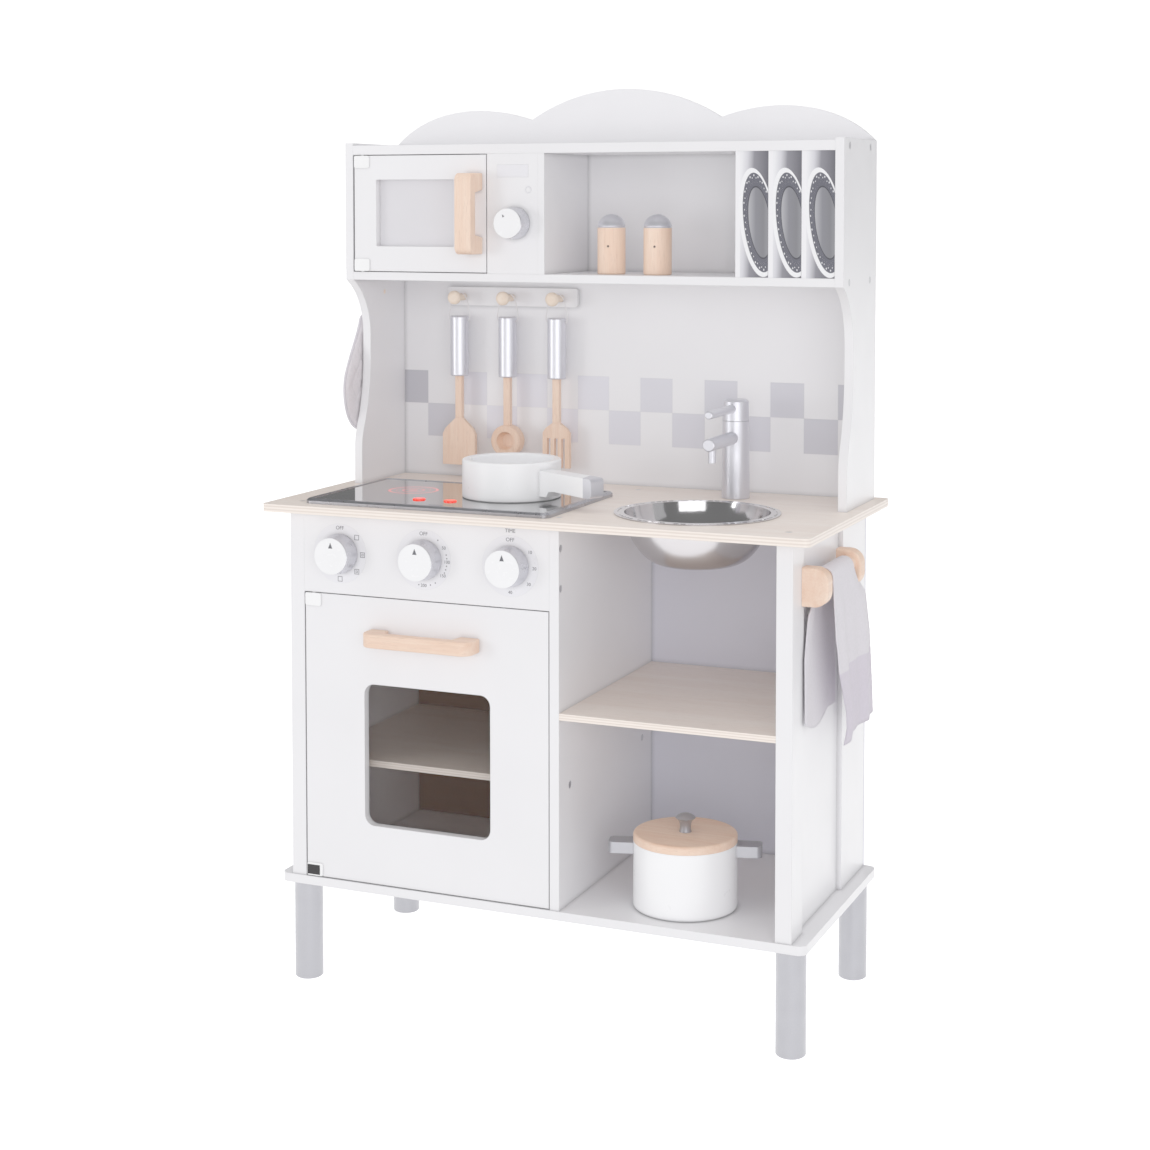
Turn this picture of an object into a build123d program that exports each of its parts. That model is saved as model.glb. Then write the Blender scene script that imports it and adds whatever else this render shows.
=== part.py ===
from build123d import *
import os
from math import asin, cos, radians, sin

os.makedirs("parts", exist_ok=True)

# Toy kitchen on four legs. Millimetres, +X to the right, +Y towards the wall, +Z up.
# The origin is on the floor, under the middle of the worktop.

# ---------------------------------------------------------------- driving sizes
worktop_width = 576.0
worktop_depth = 284.0
worktop_thickness = 8.0
worktop_height = 495.0
worktop_corner = 6.0
crest_height = 920.0
front_overhang = 21.0
board_gap = 1.0

leg_height = 103.0
leg_radius = 14.5
leg_side_inset = 20.0
leg_front_inset = 22.0
leg_back_inset = 18.0

base_inset = 8.0
base_width = worktop_width - 2 * base_inset
base_thickness = 9.0
base_lip = 1.5
base_corner = 9.0

carcass_inset = 21.5
carcass_width = worktop_width - 2 * carcass_inset
carcass_depth = 248.0
side_thickness = 16.0
side_recess_front = 34.0
side_recess_back = 82.0
side_recess_depth = 5.0
back_thickness = 4.0
divider_thickness = 10.0
divider_right = 31.6

control_height = 82.0
control_thickness = 9.0
shelf_thickness = 6.5
compartment_shelf_top = 306.0
oven_shelf_top = 233.0
oven_shelf_setback = 19.0

door_thickness = 9.0
oven_door_gap = 1.5
oven_window_width = 140.0
oven_window_height = 144.0
oven_window_corner = 11.0
oven_window_above = 59.0
oven_window_left = 67.0
pane_thickness = 2.0
pane_overlap = 9.0
pivot_side_inset = 8.0
pivot_front_inset = 3.5
pivot_radius = 2.0
pivot_reach = 4.0
pivot_clearance = 0.08
hinge_plate_width = 18.0
hinge_plate_height = 13.0
hinge_plate_thickness = 1.2

upper_inset = 13.0
upper_width = worktop_width - 2 * upper_inset
upper_setback = 132.0
upper_thickness = 9.0
upper_top = 862.0
waist_setback = 36.5
foot_setback = 16.5
waist_high = 650.0
foot_high = 532.0
top_board_top = 859.5
top_board_thickness = 10.0
upper_shelf_top = 725.0
upper_shelf_thickness = 8.5
upper_divider_thickness = 7.0
upper_divider_right = -42.5
microwave_panel_width = 58.0
microwave_door_gap = 2.0
microwave_window_width = 92.0
microwave_window_height = 70.5
microwave_window_left = 26.0
microwave_window_bottom = 26.5
plate_panel_width = 102.0
plate_panel_thickness = 6.0
crest_shoulder = 861.5
crest_lobe_height = 899.5
crest_lobe_place = 170.0
crest_valley_height = 888.5
crest_valley_place = 109.0

knob_radius = 20.0
knob_face_radius = 18.0
knob_length = 19.0
knob_gap = 0.5
knob_spacing = 94.5
small_knob_radius = 17.0
small_knob_face_radius = 15.5
spindle_radius = 3.0
spindle_clearance = 0.08
spindle_tail = 6.0
washer_radius = 6.0
washer_thickness = 1.5
microwave_knob_right_inset = 26.0
microwave_knob_above_shelf = 52.5

hob_width = 270.0
hob_depth = 172.0
hob_left_inset = 39.0
hob_front_inset = 18.0
hob_rise = 5.0
hob_rim = 6.0
hob_corner = 8.0
glass_thickness = 2.5
glass_drop = 0.5
housing_margin = 22.0
housing_depth = 22.0
housing_wall = 2.0
battery_width = 90.0
battery_depth = 56.0
button_radius = 6.5
button_rise = 1.2
button_spread = 17.5
button_front = 41.0
button_shift = -7.5
button_clearance = 0.2

sink_x = 141.0
sink_setback = 109.5
sink_rim_radius = 82.0
sink_rim_thickness = 1.2
sink_bowl_radius = 73.0
sink_bowl_depth = 51.0
sink_wall = 1.2
sink_hole_clearance = 1.0

tap_setback = 225.0
tap_radius = 14.5
tap_top_radius = 13.3
tap_collar_height = 575.0
tap_height = 597.0
spout_height = 558.0
spout_radius = 6.5
spout_reach = 84.0
nozzle_radius = 4.0
nozzle_inset = 11.0
nozzle_bottom = 539.5
lever_height = 588.0
lever_radius = 4.3
lever_reach = 84.0
tap_spigot_radius = 8.0
tap_washer_radius = 13.0
running_clearance = 0.06

peg_rail_width = 156.0
peg_rail_height = 20.5
peg_rail_bottom = 685.5
peg_rail_thickness = 6.0
peg_rail_middle = -131.0
peg_spacing = 58.5
peg_height = 695.0
peg_head_radius = 7.5
peg_neck_radius = 4.0
peg_neck_length = 19.0
peg_head_length = 8.0

utensil_stand_off = 16.5
utensil_radius = 10.0
utensil_handle_length = 66.0
utensil_hole_drop = 5.0
utensil_hole_radius = 1.0
stem_width = 7.8
stem_thickness = 6.0
blade_thickness = 5.0
spatula_width = 39.5
turner_width = 31.5
ladle_radius = 17.5
ladle_hollow_radius = 10.2
ladle_depth = 15.0
loop_radius = 0.6

pan_x = -63.0
pan_setback = 117.0
pan_radius = 50.5
pan_height = 39.0
pan_wall = 8.0
pan_floor = 6.0
pan_turn = -22.0
pan_handle_reach = 72.0
pan_handle_width = 18.0

pot_x = 138.0
pot_setback = 86.0
pot_radius = 51.0
pot_height = 65.0
pot_wall = 5.0
pot_floor = 6.0
pot_turn = 16.0
pot_handle_reach = 24.0
pot_handle_width = 20.0
pot_handle_height = 11.0
pot_handle_top = 63.0
lid_thickness = 8.0
lid_plug_depth = 4.0
lid_plug_clearance = 0.5
lid_knob_height = 18.5
lid_knob_radius = 10.0

shaker_x = 17.0
shaker_spacing = 51.0
shaker_setback = 190.0
shaker_radius = 14.5
shaker_height = 62.0
shaker_cap_height = 14.0

rail_bracket_front = 48.0
rail_bracket_back = 161.0
rail_bracket_thickness = 16.0
rail_bracket_top = 460.0
rail_bracket_height = 37.0
rail_bracket_reach = 25.5
rail_bar_radius = 8.0
rail_bar_drop = 13.0
towel_thickness = 1.6
towel_clearance = 0.5
towel_side_clearance = 12.0
towel_outer_bottom = 282.0
towel_inner_bottom = 300.0

mitt_peg_setback = 222.0
mitt_peg_height = 701.0
mitt_peg_neck_length = 15.0
mitt_thickness = 12.0
mitt_wall_clearance = 1.2

screw_head_radius = 3.6
screw_radius = 1.8
screw_length = 26.0
screw_head_depth = 1.6
screw_head_drop = 0.3

# ---------------------------------------------------------------- shared places
worktop_front = -worktop_depth / 2
worktop_under = worktop_height - worktop_thickness
front_y = worktop_front + front_overhang
back_y = front_y + carcass_depth
wall_y = back_y + back_thickness
base_top = leg_height + base_thickness
side_outer = carcass_width / 2
side_inner = side_outer - side_thickness
divider_left = divider_right - divider_thickness
divider_middle = (divider_right + divider_left) / 2
control_bottom = worktop_under - control_height
oven_middle = (divider_left - side_inner) / 2
upper_outer = upper_width / 2
upper_inner = upper_outer - upper_thickness
upper_front = worktop_front + upper_setback + front_overhang
top_board_bottom = top_board_top - top_board_thickness
upper_divider_left = upper_divider_right - upper_divider_thickness
microwave_panel_left = upper_divider_left - microwave_panel_width


def finish(piece, name):
    """Label a finished piece and write it as its own STEP file."""
    piece.part.label = name
    export_step(piece.part, f"parts/{name}.step")


def board(x_left, x_right, y_front, y_back, z_bottom, z_top):
    """Add a rectangular board between six planes to the piece being built."""
    middle = ((x_left + x_right) / 2, (y_front + y_back) / 2, (z_bottom + z_top) / 2)
    with Locations(middle):
        Box(x_right - x_left, y_back - y_front, z_top - z_bottom)


def drill(places, direction, radius, depth):
    """Subtract round holes that start at each place and run along the direction."""
    for place in places:
        with BuildSketch(Plane(origin=place, z_dir=direction)) as mouth:
            Circle(radius)
        extrude(mouth.sketch, amount=depth, mode=Mode.SUBTRACT)


def drill_screws(places, direction):
    """Subtract the room that a screw takes: a shank hole and a pocket for its head."""
    drill(places, direction, screw_radius, screw_length)
    drill(places, direction, screw_head_radius, screw_head_depth)


# ---------------------------------------------------------------- screw places
screw_front_y = front_y + 12.0
screw_back_y = back_y - 28.0
screw_side_x = side_outer - side_thickness / 2
worktop_screws = [
    (x, y, worktop_height)
    for x in (-screw_side_x, divider_middle, screw_side_x)
    for y in (screw_front_y, screw_back_y)
]
control_screws = [
    (divider_right, front_y + control_thickness / 2, control_bottom + drop)
    for drop in (22.0, 61.0)
]
oven_shelf_middle = oven_shelf_top - shelf_thickness / 2
oven_shelf_screws = [
    (divider_right, y, oven_shelf_middle)
    for y in (front_y + oven_shelf_setback + 8.0, screw_back_y)
]
divider_screws = control_screws + oven_shelf_screws
shelf_pin_radius = 2.5
shelf_pin_reach = 7.0
shelf_pin_z = compartment_shelf_top - shelf_thickness - shelf_pin_radius
shelf_pin_depth = 6.0
shelf_pin_rows = (front_y + 30.0, back_y - 24.0)
divider_pins = [(divider_right - shelf_pin_depth, y, shelf_pin_z) for y in shelf_pin_rows]
side_pins = [(side_inner + shelf_pin_depth, y, shelf_pin_z) for y in shelf_pin_rows]
top_board_screws = [
    (sign * upper_outer, y, top_board_bottom + top_board_thickness / 2)
    for sign in (-1, 1)
    for y in (upper_front + 20.0, back_y - 20.0)
]
upper_shelf_screws = [
    (sign * upper_outer, y, upper_shelf_top - upper_shelf_thickness / 2)
    for sign in (-1, 1)
    for y in (upper_front + 20.0, back_y - 20.0)
]
upper_side_screws = top_board_screws + upper_shelf_screws

# ---------------------------------------------------------------- base board and legs
base_front = front_y - base_lip
leg_places = [
    (sign * (base_width / 2 - leg_side_inset), y)
    for sign in (-1, 1)
    for y in (base_front + leg_front_inset, wall_y - leg_back_inset)
]
oven_door_left = -side_inner + oven_door_gap
oven_pivot_x = oven_door_left + pivot_side_inset
oven_pivot_y = front_y + pivot_front_inset
pivot_hole_radius = pivot_radius + pivot_clearance

with BuildPart() as base_board:
    with BuildSketch(Plane.XY.offset(leg_height)):
        with Locations((0, (base_front + wall_y) / 2)):
            RectangleRounded(base_width, wall_y - base_front, base_corner)
    extrude(amount=base_thickness)
    drill([(oven_pivot_x, oven_pivot_y, base_top)], (0, 0, -1), pivot_hole_radius, pivot_reach + 1.0)
finish(base_board, "base_board")

with BuildPart() as legs:
    with BuildSketch():
        with Locations(*leg_places):
            Circle(leg_radius)
    extrude(amount=leg_height)
    chamfer(legs.faces().filter_by(Axis.Z).sort_by(Axis.Z)[:4].edges(), 1.2)
finish(legs, "legs")


# ---------------------------------------------------------------- lower cabinet
def lower_side(sign):
    """One lower side: a front stile, a recessed field and a wider back stile, in one board."""
    recess_front = front_y + side_recess_front
    recess_back = back_y - side_recess_back
    field = side_outer - side_recess_depth
    with BuildPart() as side:
        with BuildSketch(Plane.XY.offset(base_top)):
            with BuildLine():
                Polyline(
                    (sign * side_inner, front_y),
                    (sign * side_outer, front_y),
                    (sign * side_outer, recess_front),
                    (sign * field, recess_front),
                    (sign * field, recess_back),
                    (sign * side_outer, recess_back),
                    (sign * side_outer, back_y),
                    (sign * side_inner, back_y),
                    close=True,
                )
            make_face()
        extrude(amount=worktop_under - base_top)
        drill_screws([place for place in worktop_screws if place[0] * sign > side_inner], (0, 0, -1))
        if sign > 0:
            drill(side_pins, (-1, 0, 0), shelf_pin_radius, shelf_pin_depth)
    return side


lower_side_left = lower_side(-1)
lower_side_right = lower_side(1)
finish(lower_side_left, "lower_side_left")
finish(lower_side_right, "lower_side_right")

with BuildPart() as centre_divider:
    board(divider_left, divider_right, front_y, back_y, base_top, worktop_under)
    drill_screws(divider_screws, (-1, 0, 0))
    drill_screws(worktop_screws[2:4], (0, 0, -1))
    drill(divider_pins, (1, 0, 0), shelf_pin_radius, shelf_pin_depth)
finish(centre_divider, "centre_divider")

with BuildPart() as oven_back:
    board(-side_outer, divider_middle, back_y, wall_y, base_top, worktop_under)
finish(oven_back, "oven_back")
with BuildPart() as compartment_back:
    board(divider_middle, side_outer, back_y, wall_y, base_top, worktop_under)
finish(compartment_back, "compartment_back")

with BuildPart() as oven_shelf:
    board(
        -side_inner,
        divider_left,
        front_y + oven_shelf_setback,
        back_y,
        oven_shelf_top - shelf_thickness,
        oven_shelf_top,
    )
    drill_screws(oven_shelf_screws, (-1, 0, 0))
finish(oven_shelf, "oven_shelf")

with BuildPart() as compartment_shelf:
    board(
        divider_right,
        side_inner,
        front_y,
        back_y,
        compartment_shelf_top - shelf_thickness,
        compartment_shelf_top,
    )
finish(compartment_shelf, "compartment_shelf")

knob_places = [oven_middle - knob_spacing, oven_middle, oven_middle + knob_spacing]
knob_height = control_bottom + control_height / 2
spindle_hole_radius = spindle_radius + spindle_clearance

with BuildPart() as control_panel:
    board(
        -side_inner,
        divider_left,
        front_y,
        front_y + control_thickness,
        control_bottom,
        worktop_under,
    )
    drill(
        [(x, front_y, knob_height) for x in knob_places],
        (0, 1, 0),
        spindle_hole_radius,
        control_thickness,
    )
    drill_screws(control_screws, (-1, 0, 0))
    drill(
        [(oven_pivot_x, oven_pivot_y, control_bottom)],
        (0, 0, 1),
        pivot_hole_radius,
        pivot_reach + 1.0,
    )
finish(control_panel, "control_panel")

# ---------------------------------------------------------------- worktop
hob_left = -worktop_width / 2 + hob_left_inset
hob_front = worktop_front + hob_front_inset
hob_x = hob_left + hob_width / 2
hob_y = hob_front + hob_depth / 2
housing_width = hob_width - 2 * housing_margin
housing_length = hob_depth - 2 * housing_margin
sink_y = worktop_front + sink_setback
tap_x = sink_x
tap_y = worktop_front + tap_setback

with BuildPart() as worktop:
    with BuildSketch(Plane.XY.offset(worktop_under)):
        RectangleRounded(worktop_width, worktop_depth, worktop_corner)
        with Locations((sink_x, sink_y)):
            Circle(sink_bowl_radius + sink_hole_clearance, mode=Mode.SUBTRACT)
        with Locations((hob_x, hob_y)):
            Rectangle(housing_width, housing_length, mode=Mode.SUBTRACT)
        with Locations((tap_x, tap_y)):
            Circle(tap_spigot_radius + running_clearance, mode=Mode.SUBTRACT)
    extrude(amount=worktop_thickness)
    drill_screws(worktop_screws, (0, 0, -1))
finish(worktop, "worktop")


# ---------------------------------------------------------------- upper cabinet
mitt_peg_y = worktop_front + mitt_peg_setback
mitt_peg_origin = (-upper_outer, mitt_peg_y, mitt_peg_height)
peg_tenon_radius = 2.5


def upper_side(sign):
    """One upper side: full depth beside the shelves, a waist above the worktop, a foot."""
    waist_y = upper_front + waist_setback
    foot_y = upper_front + foot_setback
    shelf_under = upper_shelf_top - upper_shelf_thickness
    outer = Plane(origin=(sign * upper_inner, 0, 0), x_dir=(0, 1, 0), z_dir=(1, 0, 0))
    with BuildPart() as side:
        with BuildSketch(outer):
            with BuildLine():
                Polyline(
                    (foot_y, worktop_height),
                    (back_y, worktop_height),
                    (back_y, upper_top),
                    (upper_front, upper_top),
                    (upper_front, shelf_under),
                )
                ThreePointArc(
                    (upper_front, shelf_under),
                    (upper_front + 0.7 * waist_setback, shelf_under - 23.0),
                    (waist_y, waist_high),
                )
                Spline(
                    (waist_y, waist_high),
                    (waist_y - 1.0, waist_high - 38.0),
                    (foot_y + 8.0, foot_high + 32.0),
                    (foot_y, foot_high),
                    tangents=((0, -1), (0, -1)),
                )
                Line((foot_y, foot_high), (foot_y, worktop_height))
            make_face()
        extrude(amount=sign * upper_thickness)
        drill_screws([place for place in upper_side_screws if place[0] * sign > 0], (-sign, 0, 0))
        if sign < 0:
            drill([mitt_peg_origin], (1, 0, 0), peg_tenon_radius, upper_thickness)
    return side


upper_side_left = upper_side(-1)
upper_side_right = upper_side(1)
finish(upper_side_left, "upper_side_left")
finish(upper_side_right, "upper_side_right")

microwave_door_left = -upper_inner + microwave_door_gap
microwave_pivot_x = microwave_door_left + pivot_side_inset
microwave_pivot_y = upper_front + pivot_front_inset

with BuildPart() as top_board:
    board(-upper_inner, upper_inner, upper_front, back_y, top_board_bottom, top_board_top)
    drill(
        [(microwave_pivot_x, microwave_pivot_y, top_board_bottom)],
        (0, 0, 1),
        pivot_hole_radius,
        pivot_reach + 1.0,
    )
    for end in (-1, 1):
        drill_screws([place for place in top_board_screws if place[0] * end > 0], (-end, 0, 0))
finish(top_board, "top_board")

upper_shelf_bottom = upper_shelf_top - upper_shelf_thickness
with BuildPart() as upper_shelf:
    board(-upper_inner, upper_inner, upper_front, back_y, upper_shelf_bottom, upper_shelf_top)
    drill(
        [(microwave_pivot_x, microwave_pivot_y, upper_shelf_top)],
        (0, 0, -1),
        pivot_hole_radius,
        pivot_reach + 1.0,
    )
    for end in (-1, 1):
        drill_screws([place for place in upper_shelf_screws if place[0] * end > 0], (-end, 0, 0))
finish(upper_shelf, "upper_shelf")

with BuildPart() as upper_divider:
    board(
        upper_divider_left,
        upper_divider_right,
        upper_front,
        back_y,
        upper_shelf_top,
        top_board_bottom,
    )
finish(upper_divider, "upper_divider")

microwave_knob_x = upper_divider_left - microwave_knob_right_inset
microwave_knob_z = upper_shelf_top + microwave_knob_above_shelf

with BuildPart() as microwave_panel:
    board(
        microwave_panel_left,
        upper_divider_left,
        upper_front,
        upper_front + door_thickness,
        upper_shelf_top,
        top_board_bottom,
    )
    drill(
        [(microwave_knob_x, upper_front, microwave_knob_z)],
        (0, 1, 0),
        spindle_hole_radius,
        door_thickness,
    )
finish(microwave_panel, "microwave_panel")

with BuildPart() as plate_panel:
    board(
        upper_inner - plate_panel_width,
        upper_inner,
        upper_front + board_gap,
        upper_front + board_gap + plate_panel_thickness,
        upper_shelf_top,
        top_board_bottom,
    )
finish(plate_panel, "plate_panel")

# The crest is three lobes: a wide one in the middle and a lower one at each side.
back_face = Plane(origin=(0, back_y, 0), x_dir=(1, 0, 0), z_dir=(0, -1, 0))
with BuildPart() as upper_back:
    with BuildSketch(back_face):
        with BuildLine():
            Polyline(
                (-upper_outer, crest_shoulder),
                (-upper_outer, worktop_height),
                (upper_outer, worktop_height),
                (upper_outer, crest_shoulder),
            )
            for sign in (-1, 1):
                Spline(
                    (sign * upper_outer, crest_shoulder),
                    (sign * (upper_outer - 29.0), crest_shoulder + 21.7),
                    (sign * crest_lobe_place, crest_lobe_height),
                    (sign * crest_valley_place, crest_valley_height),
                )
            ThreePointArc(
                (-crest_valley_place, crest_valley_height),
                (0, crest_height),
                (crest_valley_place, crest_valley_height),
            )
        make_face()
    extrude(amount=-back_thickness)
finish(upper_back, "upper_back")

# ---------------------------------------------------------------- pegs and their rail
rail_face_y = back_y - peg_rail_thickness
rail_tenon = peg_rail_thickness - 2.0
peg_places = [peg_rail_middle - peg_spacing, peg_rail_middle, peg_rail_middle + peg_spacing]

with BuildPart() as peg_rail:
    with BuildSketch(Plane(origin=(0, back_y, 0), x_dir=(1, 0, 0), z_dir=(0, -1, 0))):
        with Locations((peg_rail_middle, peg_rail_bottom + peg_rail_height / 2)):
            RectangleRounded(peg_rail_width, peg_rail_height, 3.0)
    extrude(amount=peg_rail_thickness)
    drill([(x, rail_face_y, peg_height) for x in peg_places], (0, 1, 0), peg_tenon_radius, rail_tenon)
finish(peg_rail, "peg_rail")


def turned_peg(origin, outward, across, tenon, neck_length):
    """A turned peg: its tenon in the board, a neck and a domed head."""
    rim = peg_head_radius - 4.0
    peg_length = neck_length + peg_head_length
    with BuildPart() as peg:
        with BuildSketch(Plane(origin=origin, x_dir=across, z_dir=Vector(*across).cross(Vector(*outward)))):
            with BuildLine():
                Polyline(
                    (0, peg_length),
                    (0, -tenon),
                    (peg_tenon_radius, -tenon),
                    (peg_tenon_radius, 0),
                    (peg_neck_radius, 0),
                    (peg_neck_radius, neck_length),
                    (peg_head_radius, neck_length + 2.5),
                    (peg_head_radius, peg_length - 3.0),
                )
                ThreePointArc(
                    (peg_head_radius, peg_length - 3.0),
                    (peg_head_radius - 1.4, peg_length - 1.0),
                    (rim, peg_length),
                )
                Line((rim, peg_length), (0, peg_length))
            make_face()
        revolve(axis=Axis(origin, outward))
    return peg


rail_pegs = [
    turned_peg((x, rail_face_y, peg_height), (0, -1, 0), (1, 0, 0), rail_tenon, peg_neck_length)
    for x in peg_places
]
mitt_peg = turned_peg(mitt_peg_origin, (-1, 0, 0), (0, 1, 0), upper_thickness, mitt_peg_neck_length)
with BuildPart() as pegs:
    for peg in (*rail_pegs, mitt_peg):
        add(peg.part)
finish(pegs, "pegs")

# ---------------------------------------------------------------- towel rail
bracket_middle = rail_bracket_top - rail_bracket_height / 2
bracket_front_y = worktop_front + rail_bracket_front
bracket_back_y = worktop_front + rail_bracket_back
bar_x = side_outer + rail_bracket_reach / 2
bar_z = rail_bracket_top - rail_bar_drop
bracket_nose = rail_bracket_reach * 0.55

with BuildPart() as towel_rail:
    for y in (bracket_front_y, bracket_back_y):
        with BuildSketch(Plane(origin=(0, y, 0), x_dir=(1, 0, 0), z_dir=(0, -1, 0))):
            with Locations((side_outer + rail_bracket_reach / 2, bracket_middle)):
                Rectangle(rail_bracket_reach, rail_bracket_height)
            outer_corners = vertices().sort_by(Axis.X)[-2:]
            fillet(outer_corners, bracket_nose)
        extrude(amount=-rail_bracket_thickness)
    fillet(towel_rail.edges().filter_by(GeomType.CIRCLE), 2.0)
    drill(
        [(bar_x, bracket_front_y + rail_bracket_thickness / 2, bar_z)],
        (0, 1, 0),
        rail_bar_radius,
        bracket_back_y - bracket_front_y,
    )
    with BuildSketch(Plane(origin=(bar_x, bracket_front_y + rail_bracket_thickness / 2, bar_z), z_dir=(0, 1, 0))):
        Circle(rail_bar_radius)
    extrude(amount=bracket_back_y - bracket_front_y)
finish(towel_rail, "towel_rail")

# ---------------------------------------------------------------- hob
hob_top = worktop_height + hob_rise
glass_top = hob_top - glass_drop
glass_bottom = glass_top - glass_thickness
well_width = hob_width - 2 * hob_rim
well_depth = hob_depth - 2 * hob_rim
button_places = [
    (hob_x + button_shift - button_spread, hob_front + button_front),
    (hob_x + button_shift + button_spread, hob_front + button_front),
]
button_hole_radius = button_radius + button_clearance

with BuildPart() as hob_frame:
    with BuildSketch(Plane.XY.offset(worktop_height)):
        with Locations((hob_x, hob_y)):
            RectangleRounded(hob_width, hob_depth, hob_corner)
            Rectangle(well_width, well_depth, mode=Mode.SUBTRACT)
    extrude(amount=hob_rise)
    chamfer(hob_frame.faces().sort_by(Axis.Z)[-1].outer_wire().edges(), 2.0)
finish(hob_frame, "hob_frame")

with BuildPart() as hob_glass:
    with BuildSketch(Plane.XY.offset(glass_bottom)):
        with Locations((hob_x, hob_y)):
            Rectangle(well_width, well_depth)
        with Locations(*button_places):
            Circle(button_hole_radius, mode=Mode.SUBTRACT)
    extrude(amount=glass_thickness)
finish(hob_glass, "hob_glass")

housing_bottom = worktop_height - housing_depth
housing_floor = housing_bottom + housing_wall
battery_x = hob_x - 40.0

with BuildPart() as hob_housing:
    with BuildSketch(Plane.XY.offset(worktop_height)):
        with Locations((hob_x, hob_y)):
            Rectangle(well_width, well_depth)
    extrude(amount=glass_bottom - worktop_height)
    with BuildSketch(Plane.XY.offset(housing_bottom)):
        with Locations((hob_x, hob_y)):
            Rectangle(housing_width, housing_length)
    extrude(amount=housing_depth)
    with BuildSketch(Plane.XY.offset(housing_floor)):
        with Locations((hob_x, hob_y)):
            Rectangle(housing_width - 2 * housing_wall, housing_length - 2 * housing_wall)
    extrude(amount=worktop_height - housing_floor, mode=Mode.SUBTRACT)
    with BuildSketch(Plane.XY.offset(housing_floor)):
        with Locations(*button_places):
            Circle(button_hole_radius)
    extrude(amount=glass_bottom - housing_floor, mode=Mode.SUBTRACT)
    with BuildSketch(Plane.XY.offset(housing_bottom)):
        with Locations((battery_x, hob_y)):
            Rectangle(battery_width, battery_depth)
    extrude(amount=housing_wall, mode=Mode.SUBTRACT)
finish(hob_housing, "hob_housing")

with BuildPart() as battery_cover:
    board(
        battery_x - battery_width / 2,
        battery_x + battery_width / 2,
        hob_y - battery_depth / 2,
        hob_y + battery_depth / 2,
        housing_bottom,
        housing_floor,
    )
finish(battery_cover, "battery_cover")


def hob_button(place):
    """One press button: a round cap over the glass and a collar that keeps it in."""
    collar_top = worktop_height - 1.0
    with BuildPart() as button:
        with BuildSketch(Plane.XY.offset(collar_top - 3.0)):
            with Locations(place):
                Circle(button_radius + 2.0)
        extrude(amount=2.5)
        with BuildSketch(Plane.XY.offset(collar_top - 0.5)):
            with Locations(place):
                Circle(button_radius)
        extrude(amount=glass_top + button_rise - collar_top + 0.5)
        fillet(button.faces().sort_by(Axis.Z)[-1].edges(), 0.5)
    return button


hob_button_left = hob_button(button_places[0])
hob_button_right = hob_button(button_places[1])
finish(hob_button_left, "hob_button_left")
finish(hob_button_right, "hob_button_right")

# ---------------------------------------------------------------- small steel fittings
catch_size = 12.0


def magnet_catches():
    """Add the catch behind each door's free edge: one on the divider, one under the top board."""
    board(
        divider_left - catch_size,
        divider_left,
        front_y + door_thickness + 0.3,
        front_y + door_thickness + 0.3 + catch_size,
        control_bottom - 3.0 * catch_size,
        control_bottom - 1.5 * catch_size,
    )
    board(
        microwave_panel_left - catch_size - 1.0,
        microwave_panel_left - 1.0,
        upper_front + door_thickness + pane_thickness + 0.3,
        upper_front + door_thickness + pane_thickness + 0.3 + catch_size,
        top_board_bottom - catch_size / 2,
        top_board_bottom,
    )


def rods(places, direction, radius, start, length):
    """Add round rods that begin a little way in from each place and run along the direction."""
    for place in places:
        with BuildSketch(Plane(origin=place, z_dir=direction).offset(start)) as section:
            Circle(radius)
        extrude(section.sketch, amount=length)


def screws(places, direction):
    """Add countersunk screws, their heads a little below the face that they hold."""
    rods(places, direction, screw_radius, screw_head_depth, screw_length - screw_head_depth)
    rods(places, direction, screw_head_radius, screw_head_drop, screw_head_depth - screw_head_drop)


with BuildPart() as fittings:
    magnet_catches()
    screws(worktop_screws, (0, 0, -1))
    screws(divider_screws, (-1, 0, 0))
    for end in (-1, 1):
        screws([place for place in upper_side_screws if place[0] * end > 0], (-end, 0, 0))
    rods(divider_pins, (1, 0, 0), shelf_pin_radius, 0.0, shelf_pin_depth + shelf_pin_reach)
    rods(side_pins, (-1, 0, 0), shelf_pin_radius, 0.0, shelf_pin_depth + shelf_pin_reach)
finish(fittings, "fittings")


# ---------------------------------------------------------------- doors
def hinge_plates(x_left, pivot_x, pivot_y, y_front, z_bottom, z_top):
    """The white corner clips of a door, each with the pin that it turns on."""
    with BuildPart() as plates:
        for edge_z, up in ((z_bottom, 1), (z_top, -1)):
            with BuildSketch(Plane(origin=(0, y_front, 0), x_dir=(1, 0, 0), z_dir=(0, -1, 0))):
                with Locations((x_left + hinge_plate_width / 2, edge_z + up * hinge_plate_height / 2)):
                    RectangleRounded(hinge_plate_width, hinge_plate_height, 2.0)
            extrude(amount=hinge_plate_thickness)
            with BuildSketch(Plane(origin=(pivot_x, pivot_y, edge_z), z_dir=(0, 0, -up))):
                Circle(pivot_radius)
            extrude(amount=pivot_reach)
            with BuildSketch(Plane(origin=(pivot_x, pivot_y, edge_z), z_dir=(0, 0, up))):
                Circle(pivot_radius)
            extrude(amount=hinge_plate_height)
    return plates


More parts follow.
